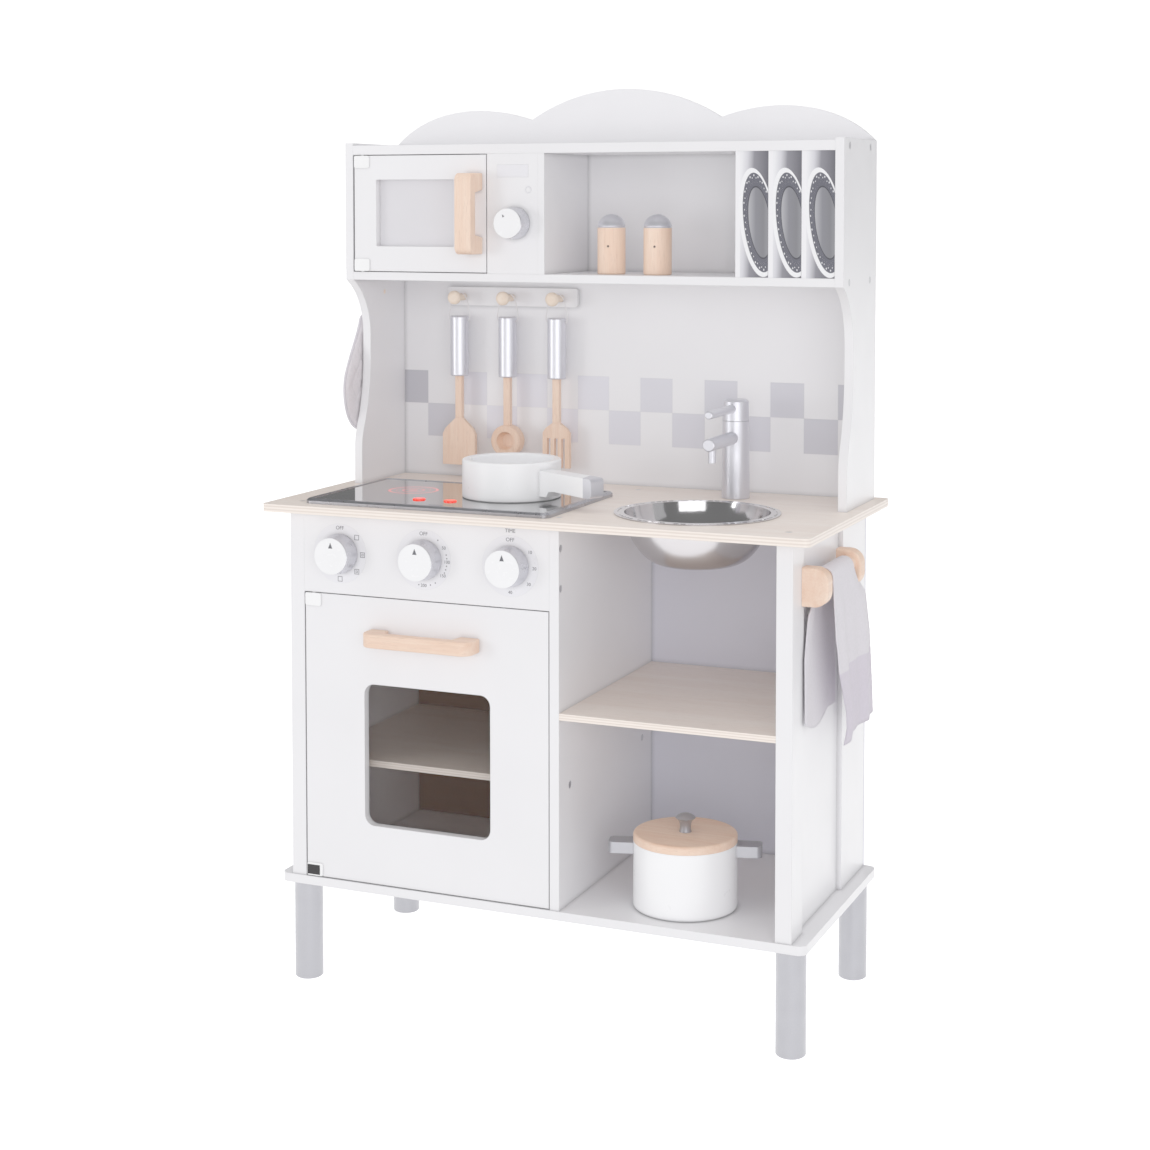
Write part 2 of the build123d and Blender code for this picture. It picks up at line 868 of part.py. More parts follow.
def door(x_left, x_right, y_front, z_bottom, z_top, window_size, window_centre, window_corner):
    """A flat door with a window opening and a blind hole for the pin in each left corner."""
    with BuildPart() as leaf:
        with BuildSketch(Plane(origin=(0, y_front, 0), x_dir=(1, 0, 0), z_dir=(0, -1, 0))):
            with Locations(((x_left + x_right) / 2, (z_bottom + z_top) / 2)):
                Rectangle(x_right - x_left, z_top - z_bottom)
            with Locations(window_centre):
                RectangleRounded(*window_size, window_corner, mode=Mode.SUBTRACT)
        extrude(amount=-door_thickness)
        pivot = (x_left + pivot_side_inset, y_front + pivot_front_inset)
        drill([(*pivot, z_bottom)], (0, 0, 1), pivot_radius, hinge_plate_height)
        drill([(*pivot, z_top)], (0, 0, -1), pivot_radius, hinge_plate_height)
    return leaf


def pane(window_size, window_centre, y_front):
    """A clear sheet fixed behind a window opening."""
    with BuildPart() as sheet:
        with BuildSketch(Plane(origin=(0, y_front, 0), x_dir=(1, 0, 0), z_dir=(0, -1, 0))):
            with Locations(window_centre):
                Rectangle(window_size[0] + 2 * pane_overlap, window_size[1] + 2 * pane_overlap)
        extrude(amount=-pane_thickness)
    return sheet


def dome_middle(radius, rise):
    """How far out and down from its top the middle of a round dome's half outline is."""
    sphere = (radius**2 + rise**2) / (2 * rise)
    half = asin(radius / sphere) / 2
    return sphere * sin(half), sphere * (1 - cos(half))


def bow_handle(plane, length, thickness, stand_off, bar_depth, corner, foot):
    """A bow handle cut from one board: the bar along X of the plane, both feet on Y = 0."""
    with BuildPart() as bow:
        with BuildSketch(plane):
            with BuildLine():
                Polyline(
                    (-length / 2, 0),
                    (-length / 2, stand_off),
                    (length / 2, stand_off),
                    (length / 2, 0),
                    (length / 2 - foot, 0),
                    (length / 2 - foot - 3.0, stand_off - bar_depth),
                    (foot + 3.0 - length / 2, stand_off - bar_depth),
                    (foot - length / 2, 0),
                    close=True,
                )
            make_face()
            fillet(vertices().group_by(Axis.Y)[-1], corner)
        extrude(amount=thickness)
        fillet(bow.faces().sort_by(Axis.Y)[0].edges(), 1.5)
    return bow


door_lift = board_gap
oven_door_bottom = base_top + door_lift
oven_door_top = control_bottom - board_gap
oven_door_right = divider_left - board_gap
oven_window_size = (oven_window_width, oven_window_height)
oven_window_centre = (
    oven_door_left + oven_window_left + oven_window_width / 2,
    oven_door_bottom + oven_window_above + oven_window_height / 2,
)

oven_door = door(
    oven_door_left,
    oven_door_right,
    front_y,
    oven_door_bottom,
    oven_door_top,
    oven_window_size,
    oven_window_centre,
    oven_window_corner,
)
finish(oven_door, "oven_door")
oven_window = pane(oven_window_size, oven_window_centre, front_y + door_thickness)
finish(oven_window, "oven_window")
oven_hinges = hinge_plates(
    oven_door_left, oven_pivot_x, oven_pivot_y, front_y, oven_door_bottom, oven_door_top
)
finish(oven_hinges, "oven_hinges")

oven_handle_length = 121.0
oven_handle_thickness = 14.0
oven_handle_stand_off = 24.0
oven_handle_top = 372.0
oven_handle_shift = -2.0
oven_handle_bar = 10.0
oven_handle_corner = 12.0
oven_handle_foot = 20.0

oven_handle = bow_handle(
    Plane(
        origin=(oven_window_centre[0] + oven_handle_shift, front_y, oven_handle_top),
        x_dir=(1, 0, 0),
        z_dir=(0, 0, -1),
    ),
    oven_handle_length,
    oven_handle_thickness,
    oven_handle_stand_off,
    oven_handle_bar,
    oven_handle_corner,
    oven_handle_foot,
)
finish(oven_handle, "oven_handle")

microwave_door_bottom = upper_shelf_top + board_gap
microwave_door_top = top_board_bottom - board_gap
microwave_door_right = microwave_panel_left - board_gap
microwave_window_size = (microwave_window_width, microwave_window_height)
microwave_window_centre = (
    microwave_door_left + microwave_window_left + microwave_window_width / 2,
    microwave_door_bottom + microwave_window_bottom + microwave_window_height / 2,
)

microwave_door = door(
    microwave_door_left,
    microwave_door_right,
    upper_front,
    microwave_door_bottom,
    microwave_door_top,
    microwave_window_size,
    microwave_window_centre,
    1.0,
)
finish(microwave_door, "microwave_door")
microwave_window = pane(microwave_window_size, microwave_window_centre, upper_front + door_thickness)
finish(microwave_window, "microwave_window")
microwave_hinges = hinge_plates(
    microwave_door_left,
    microwave_pivot_x,
    microwave_pivot_y,
    upper_front,
    microwave_door_bottom,
    microwave_door_top,
)
finish(microwave_hinges, "microwave_hinges")

microwave_handle_length = 84.0
microwave_handle_thickness = 19.0
microwave_handle_stand_off = 28.0
microwave_handle_right = -113.0
microwave_handle_bar = 11.0
microwave_handle_corner = 8.0
microwave_handle_foot = 17.0

microwave_handle = bow_handle(
    Plane(
        origin=(
            microwave_handle_right - microwave_handle_thickness,
            upper_front,
            (microwave_door_top + microwave_door_bottom) / 2,
        ),
        x_dir=(0, 0, 1),
        z_dir=(1, 0, 0),
    ),
    microwave_handle_length,
    microwave_handle_thickness,
    microwave_handle_stand_off,
    microwave_handle_bar,
    microwave_handle_corner,
    microwave_handle_foot,
)
finish(microwave_handle, "microwave_handle")


# ---------------------------------------------------------------- knobs
def knob(x, y_face, z, rear_radius, face_radius):
    """A turned knob on its spindle, kept in its board by the washer on the tail."""
    rear = knob_gap
    washer_front = -door_thickness - 0.3
    with BuildPart() as turned:
        with BuildSketch(Plane(origin=(x, y_face, z), x_dir=(1, 0, 0), z_dir=(0, 0, 1))):
            with BuildLine():
                Polyline(
                    (0, -rear - knob_length),
                    (face_radius - 1.5, -rear - knob_length),
                    (face_radius, -rear - knob_length + 1.5),
                    (rear_radius, -rear - 3.0),
                    (rear_radius, -rear),
                    (spindle_radius, -rear),
                    (spindle_radius, -washer_front),
                    (washer_radius, -washer_front),
                    (washer_radius, -washer_front + washer_thickness),
                    (spindle_radius, -washer_front + washer_thickness),
                    (spindle_radius, -washer_front + spindle_tail),
                    (0, -washer_front + spindle_tail),
                    close=True,
                )
            make_face()
        revolve(axis=Axis((x, y_face, z), (0, 1, 0)))
    return turned


for name, x in zip(("knob_mode", "knob_temperature", "knob_timer"), knob_places):
    finish(knob(x, front_y, knob_height, knob_radius, knob_face_radius), name)
finish(
    knob(microwave_knob_x, upper_front, microwave_knob_z, small_knob_radius, small_knob_face_radius),
    "knob_microwave",
)

# ---------------------------------------------------------------- sink and tap
with BuildPart() as sink_bowl:
    rim_top = worktop_height + sink_rim_thickness
    bottom = worktop_height - sink_bowl_depth
    flat = sink_bowl_radius * 0.35
    with BuildSketch(Plane(origin=(sink_x, sink_y, 0), x_dir=(1, 0, 0), z_dir=(0, -1, 0))):
        with BuildLine():
            Polyline(
                (0, bottom + sink_wall),
                (0, bottom),
                (flat, bottom),
            )
            Spline(
                (flat, bottom),
                (sink_bowl_radius * 0.83, worktop_height - sink_bowl_depth * 0.62),
                (sink_bowl_radius, worktop_height),
                tangents=((1, 0), (0.15, 1)),
            )
            Polyline(
                (sink_bowl_radius, worktop_height),
                (sink_rim_radius, worktop_height),
                (sink_rim_radius, rim_top),
                (sink_bowl_radius - sink_wall, rim_top),
            )
            Spline(
                (sink_bowl_radius - sink_wall, rim_top),
                (sink_bowl_radius * 0.83 - sink_wall * 0.8, worktop_height - sink_bowl_depth * 0.6),
                (flat, bottom + sink_wall),
                tangents=((-0.15, -1), (-1, 0)),
            )
            Line((flat, bottom + sink_wall), (0, bottom + sink_wall))
        make_face()
    revolve(axis=Axis((sink_x, sink_y, 0), (0, 0, 1)))
finish(sink_bowl, "sink_bowl")

tap_foot = worktop_height + 0.3
tap_washer_top = worktop_under - 0.3

with BuildPart() as tap:
    with BuildSketch(Plane(origin=(tap_x, tap_y, 0), x_dir=(1, 0, 0), z_dir=(0, -1, 0))):
        with BuildLine():
            Polyline(
                (0, tap_washer_top - 8.0),
                (tap_spigot_radius, tap_washer_top - 8.0),
                (tap_spigot_radius, tap_washer_top - 3.0),
                (tap_washer_radius, tap_washer_top - 3.0),
                (tap_washer_radius, tap_washer_top),
                (tap_spigot_radius, tap_washer_top),
                (tap_spigot_radius, tap_foot),
                (tap_radius, tap_foot),
                (tap_top_radius + 0.5, tap_collar_height),
                (5.0, tap_collar_height),
                (5.0, tap_collar_height + 8.0),
                (0, tap_collar_height + 8.0),
                close=True,
            )
        make_face()
    revolve(axis=Axis((tap_x, tap_y, 0), (0, 0, 1)))
    with BuildSketch(Plane(origin=(tap_x, tap_y, spout_height), z_dir=(0, -1, 0))):
        Circle(spout_radius)
    extrude(amount=spout_reach)
    fillet(tap.faces().sort_by(Axis.Y)[0].edges(), 1.5)
    nozzle_y = tap_y - spout_reach + nozzle_inset
    with BuildSketch(Plane(origin=(tap_x, nozzle_y, nozzle_bottom), z_dir=(0, 0, 1))):
        Circle(nozzle_radius)
    extrude(amount=spout_height - nozzle_bottom)
finish(tap, "tap")

with BuildPart() as tap_lever:
    cap_bottom = tap_collar_height + 0.3
    with BuildSketch(Plane(origin=(tap_x, tap_y, 0), x_dir=(1, 0, 0), z_dir=(0, -1, 0))):
        with BuildLine():
            Polyline(
                (5.0 + running_clearance, cap_bottom),
                (tap_top_radius + 0.5, cap_bottom),
                (tap_top_radius, tap_height - 2.0),
                (tap_top_radius - 2.0, tap_height),
                (0, tap_height),
                (0, tap_collar_height + 8.3),
                (5.0 + running_clearance, tap_collar_height + 8.3),
                close=True,
            )
        make_face()
    revolve(axis=Axis((tap_x, tap_y, 0), (0, 0, 1)))
    with BuildSketch(Plane(origin=(tap_x, tap_y - tap_top_radius + 3.0, lever_height), z_dir=(0, -1, 0))):
        Circle(lever_radius)
    extrude(amount=lever_reach - tap_top_radius + 3.0)
    fillet(tap_lever.faces().sort_by(Axis.Y)[0].edges(), 1.5)
finish(tap_lever, "tap_lever")

# ---------------------------------------------------------------- pan
pan_y = worktop_front + pan_setback
pan_bottom = glass_top

with BuildPart() as pan:
    with BuildSketch(Plane.XY.offset(pan_bottom)):
        with Locations((pan_x, pan_y)):
            Circle(pan_radius)
    extrude(amount=pan_height)
    with BuildSketch(Plane.XY.offset(pan_bottom + pan_floor)):
        with Locations((pan_x, pan_y)):
            Circle(pan_radius - pan_wall)
    extrude(amount=pan_height - pan_floor, mode=Mode.SUBTRACT)
    chamfer(pan.faces().sort_by(Axis.Z)[0].edges(), 1.0)
    fillet(pan.faces().sort_by(Axis.Z)[-1].edges(), 2.0)
finish(pan, "pan")

# The handle is a board on edge with a finger notch under its root; it is shaped to the round wall.
handle_plane = Plane(
    origin=(pan_x, pan_y, pan_bottom),
    x_dir=(cos(radians(pan_turn)), sin(radians(pan_turn)), 0),
    z_dir=(sin(radians(pan_turn)), -cos(radians(pan_turn)), 0),
)
pan_handle_low = 5.5
pan_handle_high = 31.5
pan_handle_end = pan_radius + pan_handle_reach

with BuildPart() as pan_handle:
    with BuildSketch(handle_plane):
        with BuildLine():
            Polyline(
                (pan_radius - 4.0, pan_handle_low),
                (pan_radius + 9.0, pan_handle_low),
                (pan_radius + 12.5, pan_handle_low + 5.5),
                (pan_radius + 20.0, pan_handle_low + 6.5),
                (pan_handle_end, pan_handle_low + 4.0),
                (pan_handle_end, pan_handle_high - 2.0),
                (pan_radius - 4.0, pan_handle_high),
                close=True,
            )
        make_face()
        fillet(vertices().sort_by(Axis.X)[-2:], 4.0)
    extrude(amount=pan_handle_width / 2, both=True)
    with BuildSketch(Plane.XY.offset(pan_bottom - 1.0)):
        with Locations((pan_x, pan_y)):
            Circle(pan_radius)
    extrude(amount=pan_height + 2.0, mode=Mode.SUBTRACT)
finish(pan_handle, "pan_handle")

# ---------------------------------------------------------------- pot and lid
pot_y = worktop_front + pot_setback
pot_bottom = base_top
pot_rim = pot_bottom + pot_height

with BuildPart() as pot:
    with BuildSketch(Plane.XY.offset(pot_bottom)):
        with Locations((pot_x, pot_y)):
            Circle(pot_radius)
    extrude(amount=pot_height)
    with BuildSketch(Plane.XY.offset(pot_bottom + pot_floor)):
        with Locations((pot_x, pot_y)):
            Circle(pot_radius - pot_wall)
    extrude(amount=pot_height - pot_floor, mode=Mode.SUBTRACT)
    fillet(pot.faces().sort_by(Axis.Z)[0].edges(), 2.5)
finish(pot, "pot")

with BuildPart() as pot_handles:
    half_length = pot_radius + pot_handle_reach
    with BuildSketch(Plane.XY.offset(pot_bottom + pot_handle_top - pot_handle_height)):
        with Locations(Location((pot_x, pot_y), pot_turn)):
            Rectangle(2 * half_length, pot_handle_width)
        fillet(vertices(), 5.0)
        with Locations((pot_x, pot_y)):
            Circle(pot_radius, mode=Mode.SUBTRACT)
    extrude(amount=pot_handle_height)
finish(pot_handles, "pot_handles")

with BuildPart() as lid:
    with BuildSketch(Plane.XY.offset(pot_rim)):
        with Locations((pot_x, pot_y)):
            Circle(pot_radius)
    extrude(amount=lid_thickness)
    fillet(lid.faces().sort_by(Axis.Z)[-1].edges(), 2.5)
    with BuildSketch(Plane.XY.offset(pot_rim - lid_plug_depth)):
        with Locations((pot_x, pot_y)):
            Circle(pot_radius - pot_wall - lid_plug_clearance)
    extrude(amount=lid_plug_depth)
finish(lid, "lid")

with BuildPart() as lid_knob:
    knob_foot = pot_rim + lid_thickness
    knob_dome_out, knob_dome_down = dome_middle(lid_knob_radius, 4.5)
    with BuildSketch(Plane(origin=(pot_x, pot_y, knob_foot), x_dir=(1, 0, 0), z_dir=(0, -1, 0))):
        with BuildLine():
            Polyline((0, lid_knob_height), (0, 0), (6.0, 0))
            Spline(
                (6.0, 0),
                (5.6, lid_knob_height * 0.42),
                (lid_knob_radius, lid_knob_height - 4.5),
                tangents=((-0.2, 1), (1, 0.6)),
            )
            ThreePointArc(
                (lid_knob_radius, lid_knob_height - 4.5),
                (knob_dome_out, lid_knob_height - knob_dome_down),
                (0, lid_knob_height),
            )
        make_face()
    revolve(axis=Axis((pot_x, pot_y, 0), (0, 0, 1)))
finish(lid_knob, "lid_knob")


# ---------------------------------------------------------------- shakers
def shaker(x, y):
    """A turned shaker with a domed top, standing on the upper shelf."""
    body_top = shaker_height - shaker_cap_height
    dome_out, dome_down = dome_middle(shaker_radius, shaker_cap_height - 2.0)
    with BuildPart() as turned:
        with BuildSketch(Plane(origin=(x, y, upper_shelf_top), x_dir=(1, 0, 0), z_dir=(0, -1, 0))):
            with BuildLine():
                Polyline(
                    (0, shaker_height),
                    (0, 0),
                    (shaker_radius - 1.0, 0),
                    (shaker_radius, 1.0),
                    (shaker_radius, body_top),
                    (shaker_radius - 0.8, body_top + 1.0),
                    (shaker_radius, body_top + 2.0),
                )
                ThreePointArc(
                    (shaker_radius, body_top + 2.0),
                    (dome_out, shaker_height - dome_down),
                    (0, shaker_height),
                )
            make_face()
        revolve(axis=Axis((x, y, 0), (0, 0, 1)))
    return turned


shaker_y = worktop_front + shaker_setback
finish(shaker(shaker_x, shaker_y), "salt_shaker")
finish(shaker(shaker_x + shaker_spacing, shaker_y), "pepper_shaker")

# ---------------------------------------------------------------- utensils
utensil_y = back_y - utensil_stand_off
handle_top = 674.5
handle_bottom = handle_top - utensil_handle_length
hole_z = handle_top - utensil_hole_drop
socket_depth = 12.0


def utensil_handle(x):
    """A round handle with a cross hole for its loop."""
    with BuildPart() as handle:
        with BuildSketch(Plane.XY.offset(handle_bottom)):
            with Locations((x, utensil_y)):
                Circle(utensil_radius)
        extrude(amount=utensil_handle_length)
        fillet(handle.edges().filter_by(GeomType.CIRCLE), 1.6)
        drill(
            [(x - utensil_radius, utensil_y, hole_z)],
            (1, 0, 0),
            utensil_hole_radius,
            2 * utensil_radius,
        )
    return handle


def stem(x, stem_bottom):
    """Add the flat stem of a utensil, from its glued end inside the handle down to the head."""
    with BuildSketch(Plane.XY.offset(stem_bottom)) as section:
        with Locations((x, utensil_y)):
            Rectangle(stem_width, stem_thickness)
    extrude(section.sketch, amount=handle_bottom + socket_depth - stem_bottom)


utensil_plane = Plane(origin=(0, utensil_y, 0), x_dir=(1, 0, 0), z_dir=(0, -1, 0))
blade_top = 556.0
spatula_bottom = 510.0
turner_bottom = 512.0
ladle_height = 539.0
spatula_x = peg_places[0]
ladle_x = peg_places[1]
turner_x = peg_places[2]

spatula_handle = utensil_handle(spatula_x)
with BuildPart() as spatula:
    with BuildSketch(utensil_plane):
        with BuildLine():
            half = spatula_width / 2
            Polyline(
                (spatula_x - stem_width / 2, blade_top + 10.0),
                (spatula_x - stem_width / 2, blade_top + 6.0),
                (spatula_x - half + 3.0, blade_top - 6.0),
                (spatula_x - half, blade_top - 12.0),
                (spatula_x - half, spatula_bottom),
                (spatula_x + half, spatula_bottom),
                (spatula_x + half, blade_top - 12.0),
                (spatula_x + half - 3.0, blade_top - 6.0),
                (spatula_x + stem_width / 2, blade_top + 6.0),
                (spatula_x + stem_width / 2, blade_top + 10.0),
                close=True,
            )
        make_face()
    extrude(amount=blade_thickness / 2, both=True)
    stem(spatula_x, blade_top + 6.0)
    add(spatula_handle.part)
finish(spatula, "spatula")

ladle_handle = utensil_handle(ladle_x)
with BuildPart() as ladle:
    with BuildSketch(utensil_plane):
        with Locations((ladle_x, ladle_height)):
            Circle(ladle_radius)
    extrude(amount=ladle_depth / 2, both=True)
    fillet(ladle.edges().filter_by(GeomType.CIRCLE), 2.5)
    with BuildSketch(utensil_plane.offset(ladle_depth / 2)):
        with Locations((ladle_x, ladle_height)):
            Circle(ladle_hollow_radius)
    extrude(amount=-9.0, taper=18, mode=Mode.SUBTRACT)
    stem(ladle_x, ladle_height + ladle_radius - 3.0)
    add(ladle_handle.part)
finish(ladle, "ladle")

turner_handle = utensil_handle(turner_x)
with BuildPart() as turner:
    with BuildSketch(utensil_plane):
        with BuildLine():
            half = turner_width / 2
            Polyline(
                (turner_x - stem_width / 2, blade_top + 9.0),
                (turner_x - stem_width / 2, blade_top + 5.0),
                (turner_x - half + 3.5, blade_top - 1.0),
                (turner_x - half, blade_top - 6.0),
                (turner_x - half, turner_bottom),
                (turner_x + half, turner_bottom),
                (turner_x + half, blade_top - 6.0),
                (turner_x + half - 3.5, blade_top - 1.0),
                (turner_x + stem_width / 2, blade_top + 5.0),
                (turner_x + stem_width / 2, blade_top + 9.0),
                close=True,
            )
        make_face()
        slot_top = blade_top - 12.0
        slot_bottom = turner_bottom - 1.0
        with Locations(*[(turner_x + step * 8.4, (slot_top + slot_bottom) / 2) for step in (-1, 0, 1)]):
            Rectangle(4.0, slot_top - slot_bottom, mode=Mode.SUBTRACT)
    extrude(amount=blade_thickness / 2, both=True)
    stem(turner_x, blade_top + 5.0)
    add(turner_handle.part)
finish(turner, "turner")

# Each hanging loop leaves one side of its handle, goes over the neck of its peg and comes back
# to the other side. The points are distances from the peg's middle line and heights, by hand.
loop_half_route = [
    (utensil_radius, hole_z),
    (utensil_radius + 2.4, hole_z + 1.0),
    (utensil_radius + 2.6, hole_z + 6.0),
    (utensil_radius + 1.0, hole_z + 14.5),
    (utensil_radius - 0.4, hole_z + 22.5),
    (utensil_radius - 5.0, hole_z + 30.7),
]
for name, x in (("spatula_loop", spatula_x), ("ladle_loop", ladle_x), ("turner_loop", turner_x)):
    left = [Vector(x - reach, utensil_y, z) for reach, z in loop_half_route]
    right = [Vector(x + reach, utensil_y, z) for reach, z in reversed(loop_half_route)]
    route = left + right
    radii = []
    for before, here, after in zip(route, route[1:], route[2:]):
        shorter = min((here - before).length, (after - here).length)
        turn = (here - before).get_angle(after - here)
        radii.append(0.45 * shorter / (sin(radians(turn / 2)) / cos(radians(turn / 2))))
    with BuildPart() as loop:
        with BuildLine() as loop_path:
            FilletPolyline(*route, radius=radii)
        with BuildSketch(Plane(origin=loop_path.line @ 0, z_dir=loop_path.line % 0)):
            Circle(loop_radius)
        sweep()
    loop_length = sum(edge.length for edge in loop_path.line.edges())
    print(name, "radii", [round(radius, 1) for radius in radii], "length", round(loop_length, 1))
    finish(loop, name)

# ---------------------------------------------------------------- towel
towel_inner_radius = rail_bar_radius + towel_clearance
towel_outer_radius = towel_inner_radius + towel_thickness
towel_front = bracket_front_y + rail_bracket_thickness + towel_side_clearance
towel_back = bracket_back_y - towel_side_clearance
bracket_bottom = rail_bracket_top - rail_bracket_height

with BuildPart() as towel:
    with BuildSketch(Plane(origin=(0, towel_front, 0), x_dir=(1, 0, 0), z_dir=(0, -1, 0))):
        with Locations((bar_x, bar_z)):
            Circle(towel_outer_radius)
            Circle(towel_inner_radius, mode=Mode.SUBTRACT)
        with Locations((bar_x, bar_z - towel_outer_radius)):
            Rectangle(2 * towel_outer_radius, 2 * towel_outer_radius, mode=Mode.SUBTRACT)
    extrude(amount=-(towel_back - towel_front))
    with BuildSketch(Plane(origin=(bar_x + towel_inner_radius, 0, 0), x_dir=(0, 1, 0), z_dir=(1, 0, 0))):
        with BuildLine():
            Polyline(
                (towel_front, bar_z),
                (towel_front, bracket_bottom),
                (towel_front + 24.0, towel_outer_bottom + 22.0),
                (towel_front + 22.0, towel_outer_bottom),
                (towel_back + 38.0, towel_outer_bottom + 8.0),
                (towel_back + 22.0, bracket_bottom - 30.0),
                (towel_back, bracket_bottom),
                (towel_back, bar_z),
                close=True,
            )
        make_face()
    extrude(amount=towel_thickness)
    with BuildSketch(Plane(origin=(bar_x - towel_outer_radius, 0, 0), x_dir=(0, 1, 0), z_dir=(1, 0, 0))):
        with BuildLine():
            Polyline(
                (towel_front, bar_z),
                (towel_front, bracket_bottom),
                (bracket_front_y + 4.0, bracket_bottom - 20.0),
                (bracket_front_y + 4.0, towel_inner_bottom + 30.0),
                (towel_front, towel_inner_bottom),
                (towel_back + 6.0, towel_inner_bottom + 6.0),
                (towel_back, bar_z),
                close=True,
            )
        make_face()
    extrude(amount=towel_thickness)
finish(towel, "towel")

# ---------------------------------------------------------------- oven mitt
mitt_inner_x = -upper_outer - mitt_wall_clearance
mitt_plane = Plane(origin=(mitt_inner_x, mitt_peg_y, mitt_peg_height), x_dir=(0, 1, 0), z_dir=(1, 0, 0))

with BuildPart() as mitt:
    with BuildSketch(mitt_plane):
        with BuildLine():
            Polyline(
                (-24.0, -24.0),
                (26.0, -17.0),
                (24.0, -80.0),
                (21.0, -118.0),
            )
            Spline(
                (21.0, -118.0),
                (-4.0, -146.0),
                (-36.0, -148.0),
                (-58.0, -122.0),
                (-58.0, -92.0),
                (-44.0, -60.0),
                (-24.0, -24.0),
            )
        make_face()
    extrude(amount=-mitt_thickness)
    fillet(mitt.faces().sort_by(Axis.X)[0].edges(), 3.0)
    with BuildSketch(mitt_plane.offset(-mitt_thickness / 2 + 1.2)):
        with BuildLine():
            Polyline(
                (-10.0, -24.0),
                (-10.0, 6.5),
                (10.0, 6.5),
                (10.0, -20.0),
                close=True,
            )
        make_face()
        with BuildLine():
            Polyline((-8.2, -24.0), (-8.2, 4.7), (8.2, 4.7), (8.2, -20.0), close=True)
        make_face(mode=Mode.SUBTRACT)
    extrude(amount=-2.4)
finish(mitt, "mitt")
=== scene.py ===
import math

import bmesh
import bpy
from bpy.props import FloatProperty, FloatVectorProperty, PointerProperty
from mathutils import Matrix, Vector


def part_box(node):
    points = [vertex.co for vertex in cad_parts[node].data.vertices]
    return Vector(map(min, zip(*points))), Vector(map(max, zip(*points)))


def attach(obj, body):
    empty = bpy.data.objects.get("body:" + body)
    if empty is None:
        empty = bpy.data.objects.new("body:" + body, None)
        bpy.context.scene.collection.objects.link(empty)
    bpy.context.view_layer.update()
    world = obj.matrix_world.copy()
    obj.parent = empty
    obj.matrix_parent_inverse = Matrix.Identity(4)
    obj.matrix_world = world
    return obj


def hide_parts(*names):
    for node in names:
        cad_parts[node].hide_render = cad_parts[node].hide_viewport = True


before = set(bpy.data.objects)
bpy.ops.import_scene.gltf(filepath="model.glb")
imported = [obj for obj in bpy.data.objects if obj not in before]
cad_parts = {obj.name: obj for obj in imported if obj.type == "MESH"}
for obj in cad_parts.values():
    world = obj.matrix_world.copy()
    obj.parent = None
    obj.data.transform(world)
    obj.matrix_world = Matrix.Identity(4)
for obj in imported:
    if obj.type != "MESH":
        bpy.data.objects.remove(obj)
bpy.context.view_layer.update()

bl_info = {
    "name": "Toy Kitchen",
    "version": (1, 0, 0),
    "blender": (4, 5, 0),
    "location": "View3D > Sidebar > Toy Kitchen",
    "description": "Finishes, prints and cloth of a wooden toy kitchen on its packed frame",
    "category": "Add Mesh",
}

MM = 0.001


def linear(red, green, blue):
    """A screen colour in 0 to 255 as the linear values that a shader takes."""
    return tuple(
        c / 12.92 if c <= 0.04045 else ((c + 0.055) / 1.055) ** 2.4
        for c in (red / 255, green / 255, blue / 255)
    )


def times(tint, share):
    """A tint made darker or paler by that share, no channel past 1."""
    return [min(1.0, c * share) for c in tint]


def colour(name, description, red, green, blue):
    default = linear(red, green, blue)
    return FloatVectorProperty(
        name=name, description=description, default=default, subtype="COLOR", min=0, max=1
    )


def length(name, description, default_mm):
    return FloatProperty(
        name=name, description=description, default=default_mm * MM, unit="LENGTH", subtype="DISTANCE"
    )


# ---------------------------------------------------------------- what a user would change
class KITCHEN_PG_finishes(bpy.types.PropertyGroup):
    board: colour("Board paint", "Satin white of the boards", 240, 239, 242)
    back: colour("Back board", "Grey of the lower compartment's back", 218, 218, 231)
    oven_lining: colour("Oven lining", "Brown of the boards seen in the oven", 112, 82, 62)
    ply_light: colour("Plywood, light", "Lightest grain of the birch plywood", 250, 237, 226)
    ply_dark: colour("Plywood, dark", "Darkest grain of the birch plywood", 243, 226, 213)
    wood_light: colour("Wood, light", "Lightest grain of the handles", 246, 214, 190)
    wood_dark: colour("Wood, dark", "Darkest grain of the handles", 234, 190, 161)
    silver: colour("Silver paint", "Silver of legs, tap, knobs and utensil handles", 212, 212, 220)
    tile_deep: colour("Tile, deep", "Deepest grey of the printed tiles", 186, 185, 194)
    tile_pale: colour("Tile, pale", "Palest grey of the printed tiles", 229, 228, 238)
    print_ink: colour("Print", "Ink of the dials' figures", 78, 78, 86)
    glow: colour("Heating marks", "Red of the hob's marks", 235, 45, 30)
    cloth_light: colour("Cloth, light", "Upper tone of the towel and the mitt", 235, 230, 238)
    cloth_dark: colour("Cloth, dark", "Lower tone of the towel", 220, 211, 226)


class KITCHEN_PG_sizes(bpy.types.PropertyGroup):
    tile: length("Tile", "Width of one printed tile", 36.45)
    tile_low: length("Tiles' lower edge", "Height of the lower row's lower edge", 538.5)
    dial: length("Dial radius", "Radius of the printed ring round a knob", 30.0)
    lettering: length("Lettering", "Height of the dials' figures", 3.9)
    ink: length("Print thickness", "How far print stands off its board", 0.12)
    weave: length("Thread", "Pitch of the cloth's threads", 0.9)
    towel_fold: length("Towel fold", "Depth of the towel's folds", 3.2)
    mitt_fill: length("Mitt fill", "How far the mitt's quilting stands out", 1.6)


